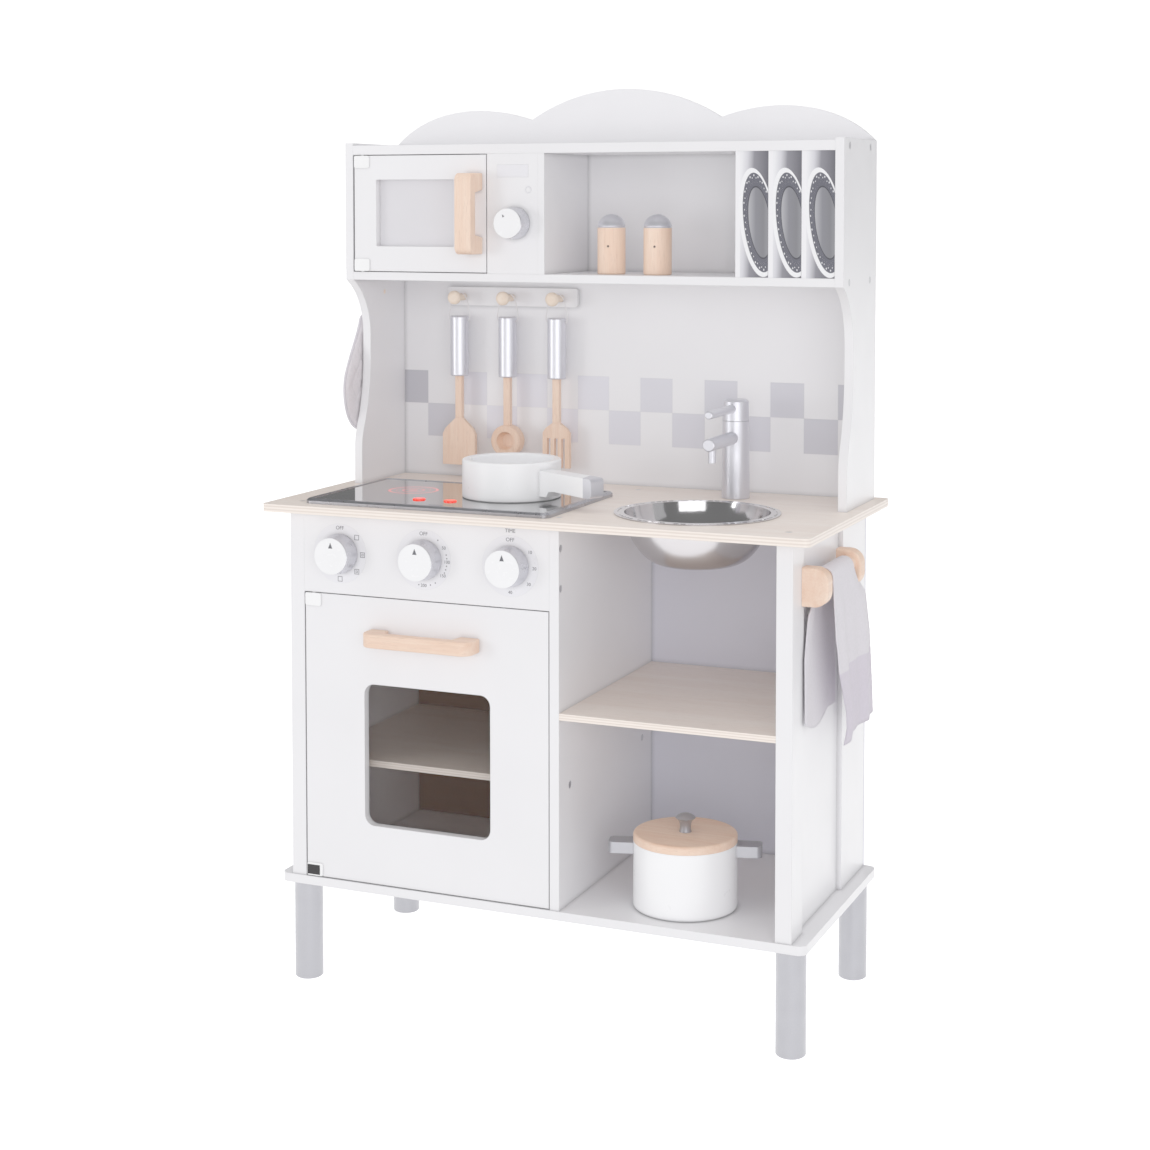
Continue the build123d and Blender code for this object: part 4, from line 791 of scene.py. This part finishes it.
class KITCHEN_OT_knobs(Piece):
    """Finishes the knobs: silver sides, a white face and a pointer"""

    bl_idname = "kitchen.knobs"
    bl_label = "Knobs"

    def build(self, tints, sizes):
        silver = Finish("knob_silver", Metallic=0.85)
        tone = silver.mix(silver.noise(500.0), linear(190, 190, 198), linear(214, 214, 220))
        silver.set("Base Color", tone)
        silver.set("Roughness", silver.uneven(silver.noise(90.0, 3.0), 0.24, 0.36))
        silver.rise(silver.noise(900.0), 0.05, 0.05 * MM, 0.4 * MM)
        white = plastic("knob_face", linear(250, 250, 252), 0.25)
        ink = plastic("knob_pointer", linear(66, 66, 74), 0.5)
        skin = 0.12 * MM
        for knob in ("mode", "temperature", "timer", "microwave"):
            node = "knob_" + knob
            dress(silver.material, node)
            low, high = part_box(node)
            x, _, z = middle(node)
            radius = (high[0] - low[0]) / 2 - 1.7 * MM
            printed(node + "_face", node, white, low[1], skin, [circle(x, z, radius)])
            turn, size, reach = 0.0, 3.0 * MM, radius * 0.58
            if knob == "microwave":
                turn, size, reach = -0.55, 1.6 * MM, radius * 0.6
            wedge = []
            for across, up in ((-0.8, -0.9), (0.8, -0.9), (0.0, 1.1)):
                a, b = across * size, up * size + reach
                right = a * math.cos(turn) + b * math.sin(turn)
                wedge.append((x + right, z - a * math.sin(turn) + b * math.cos(turn)))
            printed(node + "_pointer", node, ink, low[1] - skin, 0.1 * MM, [wedge])


class KITCHEN_OT_plates(Piece):
    """Prints the rack of three plates on its panel"""

    bl_idname = "kitchen.plates"
    bl_label = "Plate rack print"

    # Rings of a plate, from the back one forwards: x from the slot's left, half widths across and up.
    RINGS = (
        ("rim", 22.9, 18.4, 53.6),
        ("band", 24.2, 15.7, 49.0),
        ("scallop", 24.6, 12.8, 40.5),
        ("line", 25.0, 11.5, 36.0),
        ("well", 25.1, 10.9, 34.4),
    )
    SLOTS = 3
    LEAN = 0.115
    CENTRE_HEIGHT = 54.2 * MM
    STRIP = 4.5 * MM
    LAYER = 0.06 * MM
    SKIN = 0.07 * MM
    DOTS = 44

    def build(self, tints, sizes):
        low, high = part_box("plate_panel")
        pitch = (high[0] - low[0]) / self.SLOTS
        panel = Finish("plate_rack_print", Roughness=0.35)
        x, _, z = panel.split()
        slot_share = panel.maths("FRACT", panel.maths("DIVIDE", panel.maths("SUBTRACT", x, low[0]), pitch))
        down = panel.range(z, low[2], high[2], 0.12, -0.04)
        greys = (
            (0.16, linear(236, 236, 240)),
            (0.34, linear(205, 204, 212)),
            (0.54, linear(118, 117, 126)),
            (0.98, linear(74, 73, 82)),
        )
        shade = panel.ramp(panel.maths("ADD", slot_share, down), greys)
        divider = panel.range(slot_share, self.STRIP / pitch, self.STRIP / pitch + 0.02, 1.0, 0.0)
        white = linear(242, 241, 245)
        front = panel.range(panel.split(panel.facing)[1], -0.6, -0.4, 1.0, 0.0)
        panel.set("Base Color", panel.mix(front, white, panel.mix(divider, shade, white)))
        panel.rise(panel.noise(900.0), 0.12, 0.1 * MM)
        dress(panel.material, "plate_panel")
        well = Finish("plate_well", Roughness=0.3)
        place = well.maths("DIVIDE", well.maths("SUBTRACT", well.split()[0], low[0]), pitch)
        sheen = (
            (0.42, linear(158, 158, 164)),
            (0.62, linear(112, 112, 120)),
            (0.85, linear(104, 104, 110)),
            (0.98, linear(122, 122, 128)),
        )
        well.set("Base Color", well.ramp(well.maths("FRACT", place), sheen))
        well.rise(well.noise(900.0), 0.08, 0.05 * MM)
        paints = {
            "rim": painted_board("plate_rim", linear(246, 246, 249), 0.25, 0.0),
            "band": plastic("plate_band", linear(74, 74, 86), 0.35),
            "scallop": plastic("plate_scallop", linear(226, 226, 232), 0.35),
            "line": plastic("plate_line", linear(44, 44, 54), 0.4),
            "well": well.material,
        }
        middle_z = low[2] + self.CENTRE_HEIGHT
        for slot in range(self.SLOTS):
            left = low[0] + slot * pitch
            for level, (label, x, across, up) in enumerate(self.RINGS):
                centre = left + x * MM
                outline = ellipse(centre, middle_z, across * MM, up * MM, self.LEAN)
                if label == "scallop":
                    outline = [
                        (px + (px - centre) * 0.07 * (-1) ** k, pz + (pz - middle_z) * 0.045 * (-1) ** k)
                        for k, (px, pz) in enumerate(outline)
                    ]
                corner = left + pitch - 0.3 * MM, low[2] + 0.3 * MM
                face = low[1] - level * self.LAYER
                name = f"plate_{slot}_{label}"
                printed(name, "cabinet", paints[label], face, self.SKIN, [outline], corner=corner)
            dots = []
            for step in range(self.DOTS):
                angle = 2 * math.pi * step / self.DOTS
                wide, tall, size = (14.6, 46.4, 1.0) if step % 2 else (13.9, 44.2, 0.7)
                rise = tall * MM * math.sin(angle)
                px = left + 24.3 * MM + wide * MM * math.cos(angle) - self.LEAN * rise
                pz = middle_z + rise
                if px < left + pitch - 1.2 * MM and pz > low[2] + 1.5 * MM:
                    dots.append(((px, low[1] - 0.16 * MM, pz), STILL, (0.55 * size, 1.0, size)))
            scallop = paints["scallop"]
            repeat(f"plate_{slot}_dots", dots, 2.0 * MM, self.SKIN, 0, scallop, "cabinet", rounded=True)


class KITCHEN_OT_hob(Piece):
    """Finishes the hob: black glass with red heating marks, a metal frame and two red buttons"""

    bl_idname = "kitchen.hob"
    bl_label = "Hob"

    # The rings of a heating mark: radius and width in mm, and how strongly they glow.
    GLOWING = ((25, 2.4, 0.9), (18, 1.0, 0.35), (11, 1.8, 0.8), (3, 4.0, 0.55))

    def build(self, tints, sizes):
        glass = Finish("hob_black_glass", Roughness=0.05, IOR=1.52, Coat_Weight=1.0, Coat_Roughness=0.03)
        low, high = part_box("hob_glass")
        across = high[0] - low[0]
        tone = glass.mix(glass.noise(20.0), (0.018, 0.018, 0.022), (0.026, 0.026, 0.030))
        heat = None
        for x in (low[0] + across * 0.26, low[0] + across * 0.72):
            far = glass.distance((x, -0.025), (0, 1))
            faint = glass.maths("MULTIPLY", glass.ring(far, 36 * MM, 0.9 * MM), 0.25)
            tone = glass.mix(faint, tone, linear(170, 160, 164))
            for radius, width, strength in self.GLOWING:
                mark = glass.maths("MULTIPLY", glass.ring(far, radius * MM, width * MM), strength)
                tone = glass.mix(mark, tone, tints.glow)
                heat = mark if heat is None else glass.maths("MAXIMUM", heat, mark)
        glass.set("Base Color", tone)
        glass.set("Emission Color", tints.glow)
        glass.set("Emission Strength", glass.maths("MULTIPLY", heat, 0.9))
        dress(glass.material, "hob_glass")
        metal = Finish("hob_frame_metal", Metallic=0.9)
        metal.set("Base Color", metal.mix(metal.noise(60.0), linear(150, 150, 156), linear(176, 176, 182)))
        metal.set("Roughness", metal.uneven(metal.noise(120.0, 3.0), 0.25, 0.38))
        brushed = metal.noise(900.0, 2.0, 0.5, metal.stretched((0.05, 1, 1)))
        metal.rise(brushed, 0.08, 0.1 * MM, 0.5 * MM)
        dress(metal.material, "hob_frame")
        for side in ("left", "right"):
            node = "hob_button_" + side
            lens = Finish(node + "_lens", Roughness=0.18, IOR=1.5, Emission_Strength=0.9)
            lens.set("Emission Color", tints.glow)
            far = lens.range(lens.distance(middle(node)[:2], (0, 1)), 0, 7 * MM, 0, 1)
            lens.set("Base Color", lens.ramp(far, [(0.1, (0.5, 0.01, 0.005)), (0.7, tints.glow)]))
            lens.rise(lens.noise(200.0), 0.05, 0.1 * MM)
            dress(lens.material, node)


class KITCHEN_OT_sink(Piece):
    """Finishes the steel sink, polished inside and satin outside with painted shade darkening the outside's
    colour, and presses the marks of its rim
    """

    bl_idname = "kitchen.sink"
    bl_label = "Sink"

    MARKS, MARK_RADIUS = 72, 78 * MM

    def build(self, tints, sizes):
        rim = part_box("sink_bowl")[1][2]
        x, y, _ = middle("sink_bowl")
        steel = Finish("sink_steel", Metallic=1.0)
        far = steel.distance((x, y), (0, 1))
        facing = steel.split(steel.facing)
        parts = steel.split()
        away = [
            steel.maths("MULTIPLY", steel.maths("SUBTRACT", parts[axis], centre), facing[axis])
            for axis, centre in ((0, x), (1, y))
        ]
        tilted = steel.maths("SUBTRACT", steel.maths("ADD", *away), steel.maths("MULTIPLY", facing[2], 0.03))
        outer = steel.range(tilted, 0.0, 4 * MM, 0.0, 1.0)
        inside = steel.mix(steel.noise(30.0, 3.0), (0.66, 0.65, 0.66), (0.78, 0.77, 0.78))
        # Painted shade: the outside's steel colour is darker than the inside's and stands in for its darker
        # reflections; its higher roughness is the satin finish.
        steel.set("Base Color", steel.mix(outer, inside, (0.46, 0.44, 0.45)))
        rings = steel.noise(900.0, 2.0, 0.5, steel.stretched((0.0, 0.0, 1.0)))
        worn = steel.maths("MULTIPLY_ADD", rings, 0.05, steel.range(outer, 0, 1, 0.08, 0.20))
        steel.set("Roughness", worn)
        steel.rise(steel.maths("SINE", steel.maths("MULTIPLY", far, 9000.0)), 0.02, 0.02 * MM)
        dress(steel.material, "sink_bowl")
        places = []
        for step in range(self.MARKS):
            if step % 6 == 0:
                continue
            angle = 2 * math.pi * step / self.MARKS
            across, along = self.MARK_RADIUS * math.cos(angle), self.MARK_RADIUS * math.sin(angle)
            places.append(((x + across, y + along, rim - 0.1 * MM), (0, 0, angle), WHOLE))
        repeat("sink_rim_marks", places, 1.3 * MM, 4.6 * MM, 0.8 * MM, steel.material, "sink_bowl")


# ---------------------------------------------------------------- cords and cloth
class KITCHEN_OT_loops(Piece):
    """Threads the hanging loops of the utensils over their pegs"""

    bl_idname = "kitchen.loops"
    bl_label = "Hanging loops"

    # Half of a loop: its points' distances in mm to the side of the handle's middle, and above its hole.
    HALF = ((10, 0), (12.4, 1.0), (12.6, 6.0), (11, 14.5), (9.6, 22.5), (5, 30.7))
    HOLE_HEIGHT, HOLE_DEPTH = 669.5 * MM, 110.5 * MM

    def build(self, tints, sizes):
        cotton = Finish("loop_cotton", Roughness=0.9)
        strand = cotton.noise(1800.0, 2.0, 0.5, cotton.stretched((1, 1, 0.3)))
        cotton.set("Base Color", cotton.mix(strand, linear(216, 212, 214), linear(240, 238, 240)))
        cotton.rise(strand, 0.4, 0.2 * MM)
        for name in ("spatula", "ladle", "turner"):
            node = name + "_loop"
            x = middle(node)[0]
            sides = [(-across, up) for across, up in self.HALF] + list(reversed(self.HALF))
            route = [(x + across * MM, self.HOLE_DEPTH, self.HOLE_HEIGHT + up * MM) for across, up in sides]
            curve, spline = path(
                node + "_cord", "NURBS", route, bevel_depth=0.6 * MM, bevel_resolution=3, use_fill_caps=True
            )
            spline.order_u = 3
            spline.use_endpoint_u = True
            spline.resolution_u = 8
            curve.materials.append(cotton.material)
            piece = bpy.data.objects.new(node + "_cord", curve)
            bpy.context.scene.collection.objects.link(piece)
            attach(piece, node)
            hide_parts(node)


class KITCHEN_OT_towel(Piece):
    """Hangs the towel over its rail, folded and slanting as cloth does"""

    bl_idname = "kitchen.towel"
    bl_label = "Towel"

    # The towel's edges on both sides of the rail: (drop below it, y), in mm.
    OUTER_LEFT = ((0, -66), (24, -66.5), (57, -64), (90, -54), (134, -28), (150, -26), (166, -40))
    OUTER_RIGHT = ((0, 4), (14, 16), (34, 48), (76, 60), (130, 66), (170, 70))
    INNER_LEFT = ((0, -66), (25, -67), (38, -82), (80, -92), (150, -90))
    INNER_RIGHT = ((0, 4), (30, 6), (150, 8))
    OUTER_DROP, INNER_DROP = 163 * MM, 146 * MM
    BAR_X, BAR_Z, BAR_RADIUS = 279.25 * MM, 447 * MM, 8 * MM
    # The least x of the inner flap, which keeps it clear of the side board.
    NEAREST = 268.4 * MM
    COLUMNS, ROWS = 40, 96
    # How far down the outer flap its lower, darker band begins.
    BAND_DROP = 92 * MM
    FLAT_WIDTH = 0.095
    THICKNESS = 1.0 * MM

    def build(self, tints, sizes):
        wrap = self.BAR_RADIUS + 1.3 * MM
        bend = math.pi * wrap
        total = self.INNER_DROP + bend + self.OUTER_DROP
        bm = bmesh.new()
        uv = bm.loops.layers.uv.new("UVMap")
        grid = []
        for row in range(self.ROWS + 1):
            run = total * row / self.ROWS
            line = []
            for column in range(self.COLUMNS + 1):
                share = column / self.COLUMNS
                edge = (self.OUTER_LEFT, self.OUTER_RIGHT)
                if run < self.INNER_DROP:
                    drop = self.INNER_DROP - run
                    edge = (self.INNER_LEFT, self.INNER_RIGHT)
                    slack = min(1.0, drop / (60 * MM))
                    ripple = math.sin(share * 7.0 + 0.9 + 2.0 * drop)
                    x = self.BAR_X - wrap + (ripple * 0.8 - 0.9) * sizes.towel_fold * slack
                    z = self.BAR_Z - drop * (0.93 + 0.07 * math.sin(math.pi * min(1.0, share * 1.3)))
                    x = max(x, self.NEAREST)
                elif run < self.INNER_DROP + bend:
                    drop = 0.0
                    turn = (run - self.INNER_DROP) / wrap
                    if turn <= math.pi / 2:
                        edge = (self.INNER_LEFT, self.INNER_RIGHT)
                    x = self.BAR_X - wrap * math.cos(turn)
                    z = self.BAR_Z + wrap * math.sin(turn)
                else:
                    drop = run - self.INNER_DROP - bend
                    slack = min(1.0, drop / (70 * MM))
                    fold = math.sin(share * 9.5 + 0.6) + 0.5 * math.sin(share * 21 + run * 16)
                    x = self.BAR_X + wrap + (fold * 0.75 + 0.9) * sizes.towel_fold * slack
                    corner = 0.05 * max(0.0, 0.35 - share)
                    z = self.BAR_Z - drop * (1.0 + corner - 0.035 * share)
                left, right = [between(side, drop / MM) * MM for side in edge]
                fray = 0.35 * MM * math.sin(run * 900 + column) if column in (0, self.COLUMNS) else 0.0
                y = left + (right - left) * share + fray
                line.append((bm.verts.new((x, y, z)), (share * self.FLAT_WIDTH, run)))
            grid.append(line)
        for near, far in zip(grid, grid[1:]):
            for column in range(self.COLUMNS):
                corners = [near[column], near[column + 1], far[column + 1], far[column]]
                face = bm.faces.new([corner[0] for corner in corners])
                for loop, corner in zip(face.loops, corners):
                    loop[uv].uv = corner[1]
        split = self.INNER_DROP + bend + self.BAND_DROP
        cotton = woven("towel_cotton", tints.cloth_light, tints.cloth_dark, sizes.weave, split)
        piece = link("towel_cloth", mesh_from(bm, "towel_cloth", smooth=True), "towel", cotton)
        thick = piece.modifiers.new("thickness", "SOLIDIFY")
        thick.thickness = self.THICKNESS
        thick.offset = 0.0
        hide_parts("towel")


class KITCHEN_OT_mitt(Piece):
    """Sews the oven mitt, quilted and filled, with its loop over the peg on the cabinet's side"""

    bl_idname = "kitchen.mitt"
    bl_label = "Oven mitt"

    # The mitt's outline and its loop, in mm across and above the peg.
    OUTLINE = (
        (-22, -26), (4, -24), (24, -19), (25, -50), (23, -84), (21, -112), (14, -130), (-2, -143),
        (-22, -149), (-40, -146), (-54, -133), (-61, -113), (-60, -92), (-50, -72), (-40, -56), (-30, -40),
    )
    HOOP = (
        (-9, -26), (-9.2, -8), (-8.8, 0), (-6.5, 4.2), (-2.5, 5.8),
        (2.5, 5.8), (6.5, 4.2), (8.8, 0), (9.2, -8), (9, -24),
    )
    PEG_Y, PEG_Z = 0.080, 0.701
    DEPTH, GAP = 11.0 * MM, 0.5 * MM
    QUILT_PITCH = 17.0
    STEPS, LEVELS = 96, 26

    def ring(self):
        """The outline as an even, rounded run of points."""
        count = len(self.OUTLINE)
        points = []
        for step in range(self.STEPS):
            at = step / self.STEPS * count
            index = int(at)
            share = at - index
            a, b, c, d = [Vector(self.OUTLINE[(index + k - 1) % count]) for k in range(4)]
            bow = (2 * a - 5 * b + 4 * c - d) * share**2
            points.append(0.5 * (2 * b + (c - a) * share + bow + (3 * b - a - 3 * c + d) * share**3))
        return points

    def build(self, tints, sizes):
        centre_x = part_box("mitt")[1][0] - self.DEPTH / 2 - self.GAP
        centre = Vector([sum(values) / len(self.OUTLINE) for values in zip(*self.OUTLINE)])
        ring = self.ring()
        bm = bmesh.new()
        uv = bm.loops.layers.uv.new("UVMap")

        def at_peg(y, z, x=centre_x):
            return (x, self.PEG_Y + y * MM, self.PEG_Z + z * MM)

        def spot(point, side, share):
            crown = math.sqrt(max(0.0, 1 - share**6))
            y, z = point
            lines = [abs(math.sin((y * a + z * 0.6) * math.pi / self.QUILT_PITCH)) for a in (0.8, -0.8)]
            quilt = min(1.0, min(lines) * 2.4) ** 0.6
            puff = (self.DEPTH / 2 - sizes.mitt_fill) * crown + sizes.mitt_fill * quilt * crown
            return at_peg(y, z, centre_x + side * puff)

        for side in (-1, 1):
            made = []
            for level in range(1, self.LEVELS + 1):
                share = level / self.LEVELS
                flat = [centre + (point - centre) * share for point in ring]
                made.append([(bm.verts.new(spot(point, side, share)), point) for point in flat])
            hub = (bm.verts.new(spot(centre, side, 0.0)), centre)
            for step in range(self.STEPS):
                after = (step + 1) % self.STEPS
                faces = [(hub, made[0][step], made[0][after])]
                for inner, outer in zip(made, made[1:]):
                    faces.append((inner[step], outer[step], outer[after], inner[after]))
                for corners in faces:
                    face = bm.faces.new([corner[0] for corner in corners])
                    for loop, (_, point) in zip(face.loops, corners):
                        loop[uv].uv = point * MM
        cotton = woven("mitt_cotton", linear(242, 235, 240), tints.cloth_light, sizes.weave)
        piece = link("mitt_pad", mesh_from(bm, "mitt_pad", smooth=True), "mitt", cotton)
        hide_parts("mitt")
        edge_points = [at_peg(*point) for point in ring]
        piping, spline = path("mitt_binding", "POLY", edge_points, bevel_depth=1.5 * MM, bevel_resolution=3)
        spline.use_cyclic_u = True
        edging = woven("mitt_edge", tints.cloth_light, tints.cloth_dark, sizes.weave)
        link("mitt_binding", plain_mesh(piping), "mitt", edging)
        hoop = [at_peg(*point) for point in self.HOOP]
        tape, spline = path("mitt_tape", "POLY", hoop, extrude=2.0 * MM, bevel_depth=0.4 * MM)
        for point in spline.points:
            point.tilt = math.pi / 2
        link("mitt_tape", plain_mesh(tape), "mitt", cotton)


class KITCHEN_OT_small_marks(Piece):
    """Adds the dark plate of the oven door's magnet"""

    bl_idname = "kitchen.small_marks"
    bl_label = "Small marks"

    def build(self, tints, sizes):
        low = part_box("oven_hinges")[0]
        black = plastic("magnet_black", (0.006, 0.005, 0.006), 0.45, Specular_IOR_Level=0.2)
        x, z = low[0] + 0.4 * MM, low[2] + 5.2 * MM
        plate = rectangle(x, z, x + 14.5 * MM, z + 10 * MM)
        printed("oven_clip_plate", "oven_door", black, low[1], 0.2 * MM, [plate])


# ---------------------------------------------------------------- stage
class KITCHEN_OT_stage(Piece):
    """Sets the pale floor, the soft lights and the camera"""

    bl_idname = "kitchen.stage"
    bl_label = "Stage"

    # How bright the world is to rays that hit the eye, that reflect, and that light the rest.
    SEEN, REFLECTED, DIFFUSE = 1.2, 0.10, 0.64
    FLOOR_HALF = 20.0
    AIM = Vector((0.0, 0.0, 0.5))
    # Each soft light's name, place, width, power and tint.
    LIGHTS = (
        ("key", (-2.1, -2.2, 0.75), 0.8, 11.0, (0.985, 0.985, 1.0)),
        ("front", (1.7, -2.9, 0.55), 2.6, 39.0, (0.975, 0.975, 1.0)),
        ("fill", (3.0, 0.3, 0.9), 2.0, 3.0, (0.975, 0.975, 1.0)),
        ("top", (0.2, 0.1, 3.0), 2.4, 12.0, (0.985, 0.985, 1.0)),
    )
    CAMERA_PLACE, CAMERA_TILT, CAMERA_TURN = (0.82459, -1.92302, 0.79845), 87.03, 22.79
    CAMERA = {"sensor_width": 36.0, "lens": 64.58, "shift_x": -0.0158, "shift_y": -0.2305}

    def build(self, tints, sizes):
        scene = bpy.context.scene
        scene.view_settings.view_transform = "Standard"
        scene.view_settings.exposure = -0.04
        scene.view_settings.gamma = 1.49
        world = bpy.data.worlds.new("studio")
        scene.world = world
        world.use_nodes = True
        tree = world.node_tree
        back = tree.nodes["Background"]
        back.inputs[0].default_value = (1.0, 1.0, 1.0, 1.0)
        sight = tree.nodes.new("ShaderNodeLightPath")
        previous = None
        for ray, value in (("Is Glossy Ray", self.REFLECTED), ("Is Camera Ray", self.SEEN)):
            strength = tree.nodes.new("ShaderNodeMapRange")
            strength.inputs["To Min"].default_value = self.DIFFUSE
            strength.inputs["To Max"].default_value = value
            if previous is not None:
                tree.links.new(previous, strength.inputs["To Min"])
            tree.links.new(sight.outputs[ray], strength.inputs["Value"])
            previous = strength.outputs[0]
        tree.links.new(previous, back.inputs[1])
        mesh = bpy.data.meshes.new("floor")
        half = self.FLOOR_HALF
        mesh.from_pydata([(x, y, 0) for x, y in rectangle(-half, -half, half, half)], [], [(0, 1, 2, 3)])
        floor = Finish("floor_paper", Base_Color=(0.92, 0.92, 0.93), Roughness=0.9, Emission_Strength=0.95)
        floor.set("Emission Color", (1.0, 1.0, 1.0))
        paper = link("floor", mesh, None, floor.material)
        paper.visible_diffuse = False
        for name, place, size, power, tint in self.LIGHTS:
            data = bpy.data.lights.new(name, "AREA")
            data.shape = "SQUARE"
            data.size = size
            data.energy = power
            data.color = tint
            lamp = bpy.data.objects.new(name, data)
            scene.collection.objects.link(lamp)
            lamp.location = place
            lamp.rotation_euler = (self.AIM - Vector(place)).to_track_quat("-Z", "Y").to_euler()
        data = bpy.data.cameras.new("camera")
        for key, value in self.CAMERA.items():
            setattr(data, key, value)
        camera = bpy.data.objects.new("camera", data)
        scene.collection.objects.link(camera)
        camera.location = self.CAMERA_PLACE
        camera.rotation_euler = (math.radians(self.CAMERA_TILT), 0.0, math.radians(self.CAMERA_TURN))
        scene.camera = camera


OPERATORS = (
    KITCHEN_OT_boards,
    KITCHEN_OT_hardware,
    KITCHEN_OT_windows,
    KITCHEN_OT_utensils,
    KITCHEN_OT_tiles,
    KITCHEN_OT_dials,
    KITCHEN_OT_knobs,
    KITCHEN_OT_plates,
    KITCHEN_OT_hob,
    KITCHEN_OT_sink,
    KITCHEN_OT_loops,
    KITCHEN_OT_towel,
    KITCHEN_OT_mitt,
    KITCHEN_OT_small_marks,
    KITCHEN_OT_stage,
)


class KITCHEN_PT_panel(bpy.types.Panel):
    """Lists the kitchen's pieces and its finishes"""

    bl_idname = "KITCHEN_PT_panel"
    bl_label = "Toy Kitchen"
    bl_space_type = "VIEW_3D"
    bl_region_type = "UI"
    bl_category = "Toy Kitchen"

    def draw(self, context):
        for operator in OPERATORS:
            self.layout.operator(operator.bl_idname)
        for group in settings():
            for name in group.__annotations__:
                self.layout.prop(group, name)


CLASSES = (KITCHEN_PG_finishes, KITCHEN_PG_sizes, *OPERATORS, KITCHEN_PT_panel)


def register():
    for item in CLASSES:
        bpy.utils.register_class(item)
    bpy.types.Scene.kitchen_finishes = PointerProperty(type=KITCHEN_PG_finishes)
    bpy.types.Scene.kitchen_sizes = PointerProperty(type=KITCHEN_PG_sizes)


def unregister():
    del bpy.types.Scene.kitchen_sizes
    del bpy.types.Scene.kitchen_finishes
    for item in reversed(CLASSES):
        bpy.utils.unregister_class(item)


def main():
    register()
    for operator in OPERATORS:
        group, name = operator.bl_idname.split(".")
        getattr(getattr(bpy.ops, group), name)()


if __name__ == "__main__":
    main()
